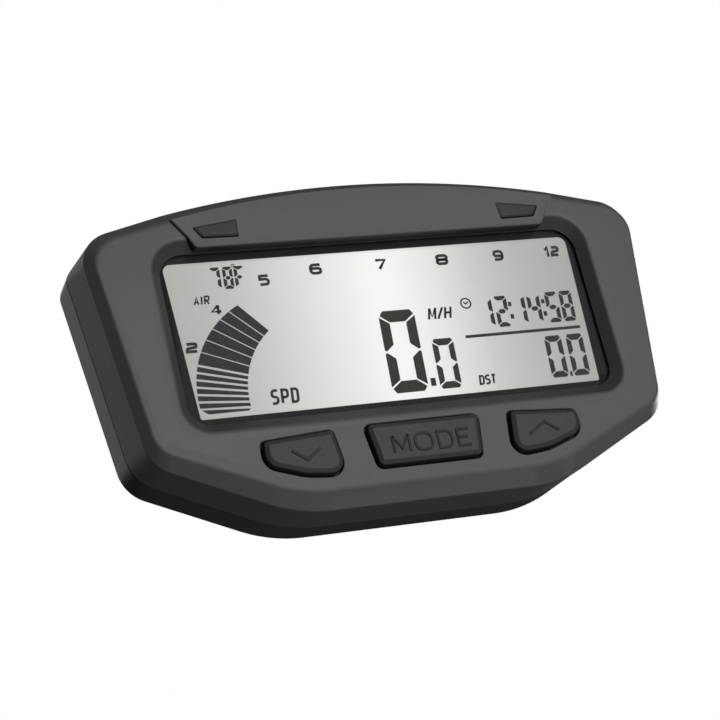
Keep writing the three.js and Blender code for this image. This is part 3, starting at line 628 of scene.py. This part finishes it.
def rear_housing():
    """The tray behind the parting line, with the cell's well, the mounting pad and all its holes."""
    section = [Corner(0.5, REAR_FRONT), Corner(0, REAR_FRONT, 0.15, 3), Corner(0, BACK_DEPTH, 1.8, 10),
               Corner(4, BACK_DEPTH)]
    shell = loft("rear_housing_shell", [(depth, housing_outline(rear_level(depth), inset))
                                        for inset, depth in open_points(section)])
    inner = housing_outline(REAR, SIDE_WALL + 0.1)
    combine(shell, [loft("cavity", [(REAR_FRONT - 1, inner), (BACK_DEPTH - BACK_WALL, inner)])])
    well = rod("well", WELL_X, WELL_Z, WELL_RADIUS, WELL_DEPTH, BACK_DEPTH - 1, 96)
    pad = inset_loft("pad", window_outline(20, 7, -7, 3, 3), [
        Corner(0, BACK_DEPTH - 1), Corner(0, PAD_DEPTH, 0.3, 4), Corner(1, PAD_DEPTH)])
    bosses = [rod("boss", side * INSERT_X, 0, BOSS_RADIUS, BOSS_DEPTH, BACK_DEPTH - 1) for side in (-1, 1)]
    combine(shell, [well, pad, *bosses], "UNION")
    cuts = []
    for x, z in SCREW_PLACES:
        cuts += [rod("screw hole", x, z, SCREW_HOLE, REAR_FRONT - 1, BACK_DEPTH), head_hole(x, z)]
    for side in (-1, 1):
        cuts.append(rod("insert hole", side * INSERT_X, 0, INSERT_HOLE, INSERT_HOLE_DEPTH, PAD_DEPTH + 1))
    cuts.append(rod("gland hole", 0, GLAND_Z, GLAND_HOLE, GLAND_HOLE_DEPTH, BACK_DEPTH + 1))
    for step in (CELL_STEP, SEAL_STEP, LUG_STEP, MOUTH_STEP):
        cuts.append(rod("well cut", WELL_X, WELL_Z, *step, 96))
    notch_radius, notch_depth, _ = LUG_STEP
    for angle in LUG_ANGLES:
        cuts.append(sector("lug notch", DOOR_RADIUS - 0.4, notch_radius, angle + DOOR_TURN, 15,
                           notch_depth, BACK_DEPTH + 1))
    combine(shell, cuts)
    settle(smooth(shell), REAR_PLASTIC, "housing", "rear_plastic", "rear_housing")


def sector(name, inner, outer, middle, half_angle, front, back):
    """A piece of a ring round the cell well's axis."""
    steps = 12
    angles = [math.radians(middle - half_angle + 2 * half_angle * i / steps) for i in range(steps + 1)]
    points = [(WELL_X + outer * math.cos(a), WELL_Z + outer * math.sin(a)) for a in angles]
    points += [(WELL_X + inner * math.cos(a), WELL_Z + inner * math.sin(a)) for a in reversed(angles)]
    return loft(name, [(front, points), (back, points)])


# ---------------------------------------------------------------- pieces of the back


def well_outline(half_x, half_z, radius):
    """A rounded rectangle about the cell well's axis."""
    return [Corner(WELL_X + right * half_x, WELL_Z + up * half_z, radius, 8)
            for right, up in ((1, -1), (1, 1), (-1, 1), (-1, -1))]


def battery_door():
    """The cell's door: a disc with a moulded ring, two bayonet lugs, a coin slot and an arrow."""
    front, back = DOOR_DEPTHS
    disc = turned("battery_door_disc", WELL_X, WELL_Z, [
        (0, front), (DOOR_RADIUS, front), (DOOR_RADIUS, back - 0.35), (DOOR_RADIUS - 0.1, back - 0.1),
        (DOOR_RADIUS - 0.35, back), (10.4, back), (10.25, back - 0.2), (9.75, back - 0.2), (9.6, back),
        (0, back)], 128)
    lugs = [sector("lug", DOOR_RADIUS - 1, LUG_RADIUS, angle, 12, front + 0.1, front + 0.9)
            for angle in LUG_ANGLES]
    combine(disc, lugs, "UNION")
    slot = inset_loft("coin slot", well_outline(7.5, 0.9, 0.85), [
        Corner(0.1, back - 0.9), Corner(0, back - 0.8), Corner(0, back - 0.12), Corner(-0.15, back + 0.02),
        Corner(-0.15, back + 1)])
    arrow = [(WELL_X + x, WELL_Z + z) for x, z in ((0, 8.6), (-1.0, 6.9), (1.0, 6.9))]
    combine(disc, [slot, loft("arrow", [(back - 0.2, arrow), (back + 1, arrow)])])
    settle(smooth(disc), REAR_PLASTIC, "door", "rear_plastic", "battery_door")


def cable_gland():
    """A moulded grommet: a flange inside, a neck through the wall and a stepped collar outside."""
    inside, wall, outside, end = 19.0, 20.2, BACK_DEPTH + 0.05, PAD_DEPTH - 0.1
    section = [(3.9, inside), (7.0, inside), (7.2, wall), (6.0, wall), (6.0, outside), (7.35, outside),
               (7.5, outside + 0.15), (7.4, outside + 0.5), (7.1, outside + 0.65), (5.6, outside + 0.65),
               (5.45, outside + 0.75), (5.3, end - 0.12), (5.1, end), (3.8, end), (3.5, end - 0.25),
               (3.5, inside + 0.4)]
    gland = turned("cable_gland_ring", 0, GLAND_Z, section, 96)
    settle(smooth(gland), BLACK_RUBBER, "housing", "black_rubber", "cable_gland")


def ridges(outer, depth, start, end, pitch):
    """Zigzag of a thread between two depths: (radius, depth) points."""
    turns = int((end - start) / pitch)
    step = (end - start) / turns
    points = []
    for i in range(turns):
        points += [(outer, start + step * i), (outer - depth, start + step * (i + 0.5))]
    return [*points, (outer, end)]


def cross_points(x, z, arm, half):
    """A cross of four arms of equal length and half width."""
    quarter = [(half, half), (half, arm), (-half, arm)]
    points = []
    for _ in range(4):
        points += [(x + px, z + pz) for px, pz in quarter]
        quarter = [(-pz, px) for px, pz in quarter]
    return points


def housing_screws():
    """Self-tapping screws with a cross recess, which narrows towards its floor."""
    tip, (head, end) = 8.0, SCREW_HEAD_DEPTHS
    arm, half, narrowing = 1.25, 0.3, 0.7
    thread = ridges(1.25, 0.25, tip + 0.6, head - 0.8, 0.7)
    section = [(0, tip), (0.6, tip), *thread, (1.25, head), (2.2, head), (2.2, end - 0.5),
               (2.05, end - 0.2), (1.7, end), (0, end)]
    for i, (x, z) in enumerate(SCREW_PLACES):
        name = f"housing_screw_{i + 1}"
        screw = turned(f"{name}_steel", x, z, section, 48)
        floor = cross_points(x, z, arm * narrowing, half * narrowing)
        mouth = cross_points(x, z, arm, half)
        combine(screw, [loft("cross recess", [(end - 1.0, floor), (end + 0.1, mouth)])])
        settle(smooth(screw), STEEL, "housing", "steel", name)


def mounting_inserts():
    """Threaded brass inserts, each with a groove round the middle of its body."""
    front, end = 17.3, PAD_DEPTH - 0.1
    middle, groove = (front + end) / 2, 0.4
    bore, body, waist = 2.75, 3.5, 3.1
    thread = ridges(bore, 0.25, front + 0.3, end - 0.3, 0.8)
    section = [(bore, front), (body, front), (body, middle - groove), (waist, middle - groove),
               (waist, middle + groove), (body, middle + groove), (body, end - 0.15),
               (body - 0.15, end), (bore, end), *reversed(thread)]
    for side, name in ((-1, "left"), (1, "right")):
        insert = turned(f"mounting_insert_{name}_brass", side * INSERT_X, 0, section, 64)
        settle(smooth(insert), BRASS, "housing", "brass", f"mounting_insert_{name}")


# ---------------------------------------------------------------- visor, indicators and keys


def visor():
    """The brow over the display: its lower front edge is a round lip, the other edges have a bevel."""
    steps = 10
    rings = []
    for i in range(steps + 1):
        down = (i / steps) ** 1.6          # of the lip's depth, in smaller steps near the front
        depth = VISOR_LIP * down
        lift = VISOR_LIP * (1 - math.sqrt(1 - (1 - down) ** 2))
        outline = inset_outline(visor_corners(lift), max(0.0, VISOR_EDGE - depth))
        rings.append((VISOR_FRONT + depth, closed_points(outline)))
    rings.append((VISOR_BACK, closed_points(visor_corners())))
    slab = loft("visor_shell", rings)
    through = [Corner(0, VISOR_FRONT - 1), Corner(0, VISOR_BACK + 1)]
    combine(slab, [inset_loft("window", corners, through)
                   for corners in (indicator_opening(), mirrored(indicator_opening()))])
    settle(smooth(slab), VISOR_PLASTIC, "housing", "housing_plastic", "visor")


def tilt_lens(head):
    """Leans a window's front: proud along its lower edge and nearly flush with the visor at its top."""
    flush = place(0, INDICATOR_FLUSH, 0).y
    for vertex in head.data.vertices:
        if vertex.co.y < flush:
            up = (vertex.co.z / MM - INDICATOR_LOW) / (INDICATOR_HIGH - INDICATOR_LOW)
            vertex.co.y = flush + (vertex.co.y - flush) * (1 - 0.85 * min(max(up, 0.0), 1.0))


def light_pipes():
    """Each is one smoked piece: the window in the visor and a stem that runs back to its lamp."""
    front = VISOR_FRONT - INDICATOR_RISE
    for name, corners in (("right", indicator_corners()), ("left", mirrored(indicator_corners()))):
        low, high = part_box(f"light_pipe_{name}")
        head = inset_loft(f"light_pipe_{name}_lens", corners, [
            Corner(1.2, front), Corner(0.4, front, 0.3, 6), Corner(0.01, INDICATOR_FLUSH, 0.1, 3),
            Corner(0.01, VISOR_BACK)])
        tilt_lens(head)
        middle = math.copysign(PIPE_X, low.x + high.x)
        stem = [(x + middle, z + PIPE_Z) for x, z in closed_points(window_outline(2.5, 0.7, -0.7, 0.2, 0.2))]
        combine(head, [loft("stem", [(VISOR_BACK - 0.5, stem), (PIPE_END, stem)])], "UNION")
        settle(smooth(head), SMOKED, "housing", "smoked_lens", f"light_pipe_{name}")


def key_shell(name, corners):
    """A key: its rounded cap, the flange that keeps it in, and the stem that stands on its switch."""
    top = KEY_FRONT + KEY_RELIEF
    body = inset_loft(f"button_{name}_cap", corners, [
        Corner(2.4, top), Corner(1.3, top, 0.7, 6), Corner(KEY_MOAT, top + 0.5, 0.3, 6),
        Corner(KEY_MOAT, 2.5)])
    flange = inset_loft("flange", corners, [Corner(-0.7, depth) for depth in KEY_FLANGE_DEPTHS])
    low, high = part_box(f"switch_plunger_{name}")
    x, z = (low.x + high.x) / 2 / MM, (low.z + high.z) / 2 / MM
    stem = rod("stem", x, z, KEY_STEM_RADIUS, *KEY_STEM_DEPTHS)
    combine(body, [flange, stem], "UNION")
    settle(smooth(body), KEY_PLASTIC, f"key_{name}", "key_plastic", f"button_{name}")


# ---------------------------------------------------------------- figures and markings


def ribbon(bm, points, width, depth=INK_DEPTH, height=INK_THICKNESS, closed=False):
    """A flat stroke of even width along points, with mitred bends, standing towards the front."""
    half = width / 2
    count = len(points)
    left, right = [], []
    for i, (x, z) in enumerate(points):
        before = points[i - 1] if closed or i else None
        after = points[(i + 1) % count] if closed or i < count - 1 else None
        normals = []
        for a, b in ((before, (x, z)), ((x, z), after)):
            if a is None or b is None:
                continue
            length = math.hypot(b[0] - a[0], b[1] - a[1])
            normals.append((-(b[1] - a[1]) / length, (b[0] - a[0]) / length))
        nx = sum(n[0] for n in normals) / len(normals)
        nz = sum(n[1] for n in normals) / len(normals)
        reach = half / max(nx * nx + nz * nz, MITRE_LIMIT)
        left.append(bm.verts.new(place(x + nx * reach, depth, z + nz * reach)))
        right.append(bm.verts.new(place(x - nx * reach, depth, z - nz * reach)))
    faces = []
    for i in range(count if closed else count - 1):
        j = (i + 1) % count
        faces.append(bm.faces.new((left[i], left[j], right[j], right[i])))
    raise_faces(bm, faces, height)


def patch(bm, points):
    """A filled polygon of ink."""
    face = bm.faces.new([bm.verts.new(place(x, INK_DEPTH, z)) for x, z in points])
    raise_faces(bm, [face], INK_THICKNESS)


def raise_faces(bm, faces, height):
    """Makes a body of flat faces by raising them towards the front."""
    raised = bmesh.ops.extrude_face_region(bm, geom=faces, use_keep_orig=True)
    verts = [v for v in raised["geom"] if isinstance(v, bmesh.types.BMVert)]
    bmesh.ops.translate(bm, verts=verts, vec=(0, -height * MM, 0))


# Strokes of each glyph in a box one wide and one high: points (x, z, roundness), then whether the
# stroke closes. A point without a roundness has that of the text.
GLYPHS = {
    "1": [([(-0.1, 0.7), (0.6, 1.12, 0), (0.6, -0.15)], False)],
    "2": [([(0, 1), (1, 1), (1, 0.55), (0, 0.42), (0, 0, 0), (1, 0)], False)],
    "4": [([(0.7, 0), (0.7, 1, 0)], False), ([(0.7, 0.97), (0.0, 0.3, 0), (1, 0.3)], False)],
    "5": [([(1, 1), (0.02, 1, 0), (0.02, 0.6, 0), (1, 0.6), (1, 0), (0, 0)], False)],
    "6": [([(0.95, 1), (0, 1), (0, 0), (1, 0), (1, 0.57), (0, 0.57)], False)],
    "7": [([(0, 1), (1, 1, 0), (0.35, -0.08)], False)],
    "8": [([(0, 0.5), (0, 0), (1, 0), (1, 0.5)], True), ([(0, 0.5), (1, 0.5), (1, 1), (0, 1)], True)],
    "9": [([(0.05, 0), (1, 0), (1, 1), (0, 1), (0, 0.43), (1, 0.43)], False)],
    "A": [([(0, 0), (0.5, 1, 0), (1, 0)], False), ([(0.2, 0.3), (0.8, 0.3)], False)],
    "D": [([(0, 0, 0), (0, 1, 0), (1, 1), (1, 0)], True)],
    "E": [([(1, 1), (0, 1, 0), (0, 0, 0), (1, 0)], False), ([(0, 0.52), (0.85, 0.52)], False)],
    "H": [([(0, 0), (0, 1)], False), ([(1, 0), (1, 1)], False), ([(0, 0.5), (1, 0.5)], False)],
    "I": [([(0.5, 0), (0.5, 1)], False)],
    "M": [([(0, 0), (0, 1)], False), ([(0.02, 1), (0.5, 0.2, 0), (0.98, 1)], False),
          ([(1, 0), (1, 1)], False)],
    "O": [([(0, 0), (0, 1), (1, 1), (1, 0)], True)],
    "P": [([(0, 0), (0, 1, 0), (1, 1), (1, 0.42), (0, 0.42)], False)],
    "R": [([(0, 0), (0, 1, 0), (1, 1), (1, 0.47), (0, 0.47)], False), ([(0.45, 0.47), (1, 0)], False)],
    "S": [([(1, 1), (0, 1), (0, 0.53), (1, 0.47), (1, 0), (0, 0)], False)],
    "T": [([(0, 1), (1, 1)], False), ([(0.5, 1), (0.5, 0)], False)],
    "/": [([(0, 0), (1, 1)], False)],
}
WIDTHS = {"I": 0.0, "1": 0.6, "/": 0.7, "M": 1.15, "O": 1.25, "E": 0.85}  # the others are 1 wide


def write(bm, text, x, z, width, height, stroke, lean=0.0, gap=0.5, radius=0.3,
          depth=INK_DEPTH, rise=INK_THICKNESS):
    """Draws text from its lower left corner; width and height are those of a glyph's centre lines."""
    for letter in text:
        across = width * WIDTHS.get(letter, 1.0)
        for points, closed in GLYPHS[letter]:
            corners = [Corner(px * across, pz * height, radius * (soft[0] if soft else 1), 5)
                       for px, pz, *soft in points]
            path = closed_points(corners) if closed else open_points(corners)
            ribbon(bm, [(x + px + lean * pz, z + pz) for px, pz in path], stroke, depth, rise, closed)
        x += across + gap + stroke


SEGMENTS = {"0": "abcdef", "1": "bc", "2": "abged", "4": "fgbc", "5": "afgcd", "7": "abc",
            "8": "abcdefg", "F": "afge"}


def seven_segments(bm, figure, left, top, width, height, upright, level, gap):
    """A leaning seven-segment figure. left and top are those of its upper left corner; upright and
    level are the widths of its standing and lying segments."""
    w, h, u, v, g = width, height, upright, level, gap
    middle, half_bar = h / 2, v / 2
    end_drop, end_inset = v * 0.4, v * 0.36
    shapes = {
        "a": [(g * 0.9, h - end_drop), (u + g * 0.5, h - v), (w - u - g * 0.5, h - v),
              (w - g * 0.9, h - end_drop), (w - end_inset, h), (end_inset, h)],
        "f": [(0, h - end_drop - g * 1.2), (0, middle + g * 1.4), (u * 0.22, middle + g * 0.7),
              (u, middle + half_bar + g), (u, h - v - g)],
        "g": [(u * 0.5 + g, middle), (u + g, middle - half_bar), (w - u - g, middle - half_bar),
              (w - u * 0.5 - g, middle), (w - u - g, middle + half_bar), (u + g, middle + half_bar)],
    }
    shapes["d"] = [(x, h - z) for x, z in reversed(shapes["a"])]
    shapes["e"] = [(x, h - z) for x, z in reversed(shapes["f"])]
    shapes["b"] = [(w - x, z) for x, z in reversed(shapes["f"])]
    shapes["c"] = [(w - x, z) for x, z in reversed(shapes["e"])]
    for name in SEGMENTS[figure]:
        leaning = [(left + x + DIGIT_LEAN * (z - h), top - h + z) for x, z in shapes[name]]
        patch(bm, leaning)


def leaning_dot(bm, left, top, width, height):
    shape = [(0, 0), (width, 0), (width + DIGIT_LEAN * height, height), (DIGIT_LEAN * height, height)]
    patch(bm, [(left + x, top - height + z) for x, z in shape])


# The bars of the tachometer lie between two arcs: centre x, centre z, radius.
OUTER_ARC = (-19.46, -12.31, 20.78)
INNER_ARC = (-13.13, -13.15, 17.49)
WIDE_BARS = NARROW_BARS = 6


def on_arc(arc, angle):
    x, z, radius = arc
    return x + radius * math.cos(math.radians(angle)), z + radius * math.sin(math.radians(angle))


def arc_bar(bm, outer, inner):
    """One bar of the tachometer between two angles on its outer arc and two on its inner one."""
    steps = 4
    points = [on_arc(OUTER_ARC, outer[0] + (outer[1] - outer[0]) * i / steps) for i in range(steps + 1)]
    points += [on_arc(INNER_ARC, inner[1] + (inner[0] - inner[1]) * i / steps) for i in range(steps + 1)]
    patch(bm, points)


def tachometer_bars(bm):
    """Wide bars that grow along the arc, then narrow ones of even width, then the foot of the scale."""
    outer_wide = [116.6 + 6.4 * i + 0.13 * i * i for i in range(WIDE_BARS + 1)]
    inner_wide = [127.8 + 5.4 * i + 0.06 * i * i for i in range(WIDE_BARS + 1)]
    for i in range(WIDE_BARS):
        last = 0.4 if i == WIDE_BARS - 1 else 0.0
        arc_bar(bm, (outer_wide[i] + 0.28, outer_wide[i + 1] - 0.28 - last),
                (inner_wide[i] + 0.33, inner_wide[i + 1] - 0.33 - last))
    for i in range(NARROW_BARS):
        outer, inner = outer_wide[-1] + 4.02 * i, inner_wide[-1] + 3.45 * i
        arc_bar(bm, (outer + 0.62, outer + 3.4), (inner + 0.73, inner + 2.72))
    patch(bm, [(-39.95, -13.85), (-38.8, -14.72), (-31.1, -14.72), (-30.7, -14.35)])


def figure_piece(name, draw):
    obj = built(name, draw)
    obj.data.transform(Matrix.Translation((FIGURE_OFFSET[0] * MM, 0, FIGURE_OFFSET[1] * MM)))
    settle(obj, LCD_INK, "housing", "mask_black")


def speed_figures(bm):
    seven_segments(bm, "0", -1.6, 2.55, 7.4, 16.85, 2.0, 2.4, 0.25)
    leaning_dot(bm, 5.5, -11.9, 1.05, 1.6)
    seven_segments(bm, "0", 7.83, -4.05, 4.47, 10.25, 1.17, 1.4, 0.2)


def clock_figures(bm):
    for figure, left in (("1", 19.68), ("2", 22.95), ("1", 26.8), ("4", 30.05), ("5", 34.0), ("8", 37.15)):
        seven_segments(bm, figure, left, 3.72, 2.72, 6.5, 0.82, 0.92, 0.13)
    for left in (25.75, 32.95):
        leaning_dot(bm, left, 2.3, 0.7, 0.9)
        leaning_dot(bm, left - 0.15, -0.3, 0.7, 0.95)


def distance_figures(bm):
    for left in (31.36, 36.03):
        seven_segments(bm, "0", left, -5.55, 3.65, 8.75, 1.0, 1.28, 0.17)
    leaning_dot(bm, 34.8, -13.3, 0.5, 0.95)


def temperature_figures(bm):
    for figure, left in (("7", -32.75), ("8", -30.3), ("F", -28.05)):
        seven_segments(bm, figure, left, 14.2, 1.95, 4.55, 0.66, 0.7, 0.11)
    ribbon(bm, circle_points(-28.05, 14.35, 0.27, 16), 0.16, closed=True)


def dial_numbers(bm):
    for number, left, width in (("6", -12.95, 2.05), ("7", 0.45, 1.9), ("8", 13.2, 2.2), ("9", 25.5, 1.8)):
        write(bm, number, left, 11.52, width, 1.72, 0.6, 0.08, radius=0.6)
    write(bm, "5", -23.5, 10.02, 1.68, 1.75, 0.55, 0.08, radius=0.5)
    write(bm, "12", 36.85, 11.55, 1.35, 1.68, 0.62, 0.08, gap=-0.04, radius=0.4)
    write(bm, "4", -34.1, 4.75, 1.85, 1.75, 0.52, 0.08)
    write(bm, "2", -40.3, -2.25, 1.85, 1.5, 0.58, 0.08, radius=0.45)


def small_labels(bm):
    write(bm, "AIR", -37.05, 6.95, 0.78, 1.55, 0.34, 0.17, gap=0.28, radius=0.25)
    write(bm, "SPD", -26.35, -13.9, 1.08, 2.55, 0.52, 0.1, gap=0.36, radius=0.5)
    write(bm, "DST", 15.55, -14.1, 0.75, 1.65, 0.4, 0.15, gap=0.08, radius=0.35)
    write(bm, "M/H", 8.5, 0.05, 1.12, 2.3, 0.45, 0.25, gap=0.2)


def display_rule(bm):
    patch(bm, [(15.06, -4.47), (39.8, -4.47), (39.8, -3.87), (15.06, -3.87)])


def clock_icon(bm):
    x, z = 16.94, 2.78
    ribbon(bm, circle_points(x, z, 1.02, 40), 0.3, closed=True)
    ribbon(bm, [(x - 0.5, z + 0.25), (x - 0.05, z - 0.12), (x + 0.55, z + 0.3)], 0.28)


def display():
    """The clear window, the border printed round it and the figures behind it."""
    front, back = LENS_DEPTHS
    lens = inset_loft("display_window", LENS, [Corner(1, front), Corner(0, front, 0.1, 2), Corner(0, back)])
    settle(smooth(lens), WINDOW, "housing", "clear_window", "display_lens")
    front, back = BORDER_DEPTHS
    border = inset_loft("display_border", LENS, [Corner(0, front), Corner(0, back)])
    view = closed_points(VIEW)
    combine(border, [loft("view", [(front - 0.1, view), (back + 0.1, view)])])
    settle(border, MASK, "housing", "mask_black", "display_mask")
    for name, draw in (("speed", speed_figures), ("clock", clock_figures), ("distance", distance_figures),
                       ("temperature", temperature_figures), ("dial", dial_numbers),
                       ("labels", small_labels), ("rule", display_rule), ("clock_icon", clock_icon),
                       ("bars", tachometer_bars)):
        figure_piece(f"figures_{name}", draw)


def key_markings():
    """The raised word and arrows, each sunk a little way into its key; their darker colour is painted shade.
    """
    sunk = 0.05
    base, rise = KEY_FRONT + KEY_RELIEF + sunk, KEY_RELIEF + sunk

    def mode(bm):
        write(bm, "MODE", -7.1, -27.25, 2.75, 3.2, 0.45, gap=0.75, radius=1.3, depth=base, rise=rise)

    def down(bm):
        ribbon(bm, [(-26.7, -24.75), (-24.0, -26.75), (-21.2, -24.75)], 0.5, base, rise)

    def up(bm):
        ribbon(bm, [(20.5, -26.5), (24.0, -24.35), (26.7, -26.3)], 0.5, base, rise)

    for name, draw in (("mode", mode), ("down", down), ("up", up)):
        settle(built(f"key_mark_{name}", draw), KEY_MARK_PAINTED_SHADE, f"key_{name}", "key_plastic")


# ---------------------------------------------------------------- CAD nodes that keep their shape

NODE_LOOKS = {
    "housing_seal": BLACK_RUBBER, "lens_gasket": BLACK_RUBBER, "key_seal": BLACK_RUBBER,
    "battery_door_seal": BLACK_RUBBER, "battery_contact": BRASS, "lcd_polariser": LCD_FACE_WITH_PAINTED_SHEEN,
    "lcd_front_glass": GLASS, "lcd_rear_glass": GLASS, "lcd_reflector": REFLECTOR,
    "light_guide": WHITE, "lcd_holder": WHITE, "zebra_strip": ZEBRA, "backlight_led": LED,
    "indicator_led": AMBER, "switch_body": STEEL, "switch_plunger": CHIP, "main_board": BOARD,
    "microcontroller": CHIP, "crystal": STEEL, "wiring_header": HEADER, "board_screw": STEEL,
    "coin_cell": CELL_STEEL,
}


def dress_nodes():
    """Gives each of these nodes, found by the start of its name, its material."""
    for name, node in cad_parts.items():
        for start, look in NODE_LOOKS.items():
            if name.startswith(start):
                for slot in node.material_slots:
                    slot.material = look


# ---------------------------------------------------------------- stage


def floor():
    size, level = 1.0, -0.45
    mesh = bpy.data.meshes.new("floor")
    corners = [(-size, -size, level), (size, -size, level), (size, size, level), (-size, size, level)]
    mesh.from_pydata(corners, [], [(0, 1, 2, 3)])
    plane = new_object("floor", mesh)
    n = Nodes.material("grey floor")
    mesh.materials.append(n.principled(n.between(n.noise(3, 3), grey(0.34), grey(0.38)), 0.9, 0.5))
    plane.visible_camera = False


def surroundings():
    """A white background, which lights the object only faintly."""
    n = Nodes(bpy.data.worlds.new("studio"), "ShaderNodeOutputWorld")
    seen, lighting = [n.add("ShaderNodeBackground", {"Color": (1, 1, 1, 1), "Strength": strength})
                      for strength in (1.0, 0.03)]
    eye = n.add("ShaderNodeLightPath").outputs["Is Camera Ray"]
    both = n.add("ShaderNodeMixShader", {0: eye, 1: lighting.outputs[0], 2: seen.outputs[0]})
    bpy.context.scene.world = n.finish(both)
    bpy.context.scene.view_settings.view_transform = "Standard"


# Soft boxes: azimuth (0 in front, 90 at the rider's right), elevation, side in metres and watts.
LIGHT_DISTANCE = 1.0
SOFT_BOXES = {
    "key light": (18, 13, 0.6, 6.8),
    "front light": (6, -10, 0.5, 5.3),
    "left light": (-120, 12, 0.6, 0.75),
    "rear left light": (-150, 20, 0.6, 0.63),
    "rear light": (200, 45, 0.6, 0.8),
    "back light": (118, 8, 0.6, 8.0),
}


def soft_box(name, azimuth, elevation, side, power):
    across, up = math.radians(azimuth), math.radians(elevation)
    away = Vector((math.sin(across) * math.cos(up), -math.cos(across) * math.cos(up), math.sin(up)))
    data = bpy.data.lights.new(name, "AREA")
    data.shape = "SQUARE"
    data.size = side
    data.energy = power
    light = new_object(name, data)
    light.location = away * LIGHT_DISTANCE
    light.visible_camera = False
    light.rotation_mode = "QUATERNION"
    light.rotation_quaternion = (-away).to_track_quat("-Z", "Y")


CAMERA_PLACE = place(-155.45, -335.6, -142.7)
CAMERA_TARGET = place(-8.882, 0, -8.135)
CAMERA_ROLL = -13.869         # degrees
FOCAL_LENGTH = 105.5          # on a sensor 36 mm wide
FRAME_SHIFT = 0.5 / 720       # half a pixel, as a share of the picture's width


def camera():
    data = bpy.data.cameras.new("camera")
    data.lens = FOCAL_LENGTH
    data.sensor_width = 36
    data.clip_start = 0.01
    data.shift_x, data.shift_y = -FRAME_SHIFT, FRAME_SHIFT
    cam = new_object("camera", data)
    aim = (CAMERA_TARGET - CAMERA_PLACE).to_track_quat("-Z", "Y")
    roll = Quaternion((0, 0, 1), math.radians(CAMERA_ROLL))
    cam.matrix_world = Matrix.LocRotScale(CAMERA_PLACE, aim @ roll, None)
    bpy.context.scene.camera = cam


# ---------------------------------------------------------------- assembly

camera()
floor()
surroundings()
for light_name, light_setting in SOFT_BOXES.items():
    soft_box(light_name, *light_setting)
dress_nodes()
front_housing()
rear_housing()
battery_door()
cable_gland()
housing_screws()
mounting_inserts()
visor()
light_pipes()
for key_name, key_outline in KEYS.items():
    key_shell(key_name, key_outline)
key_markings()
display()
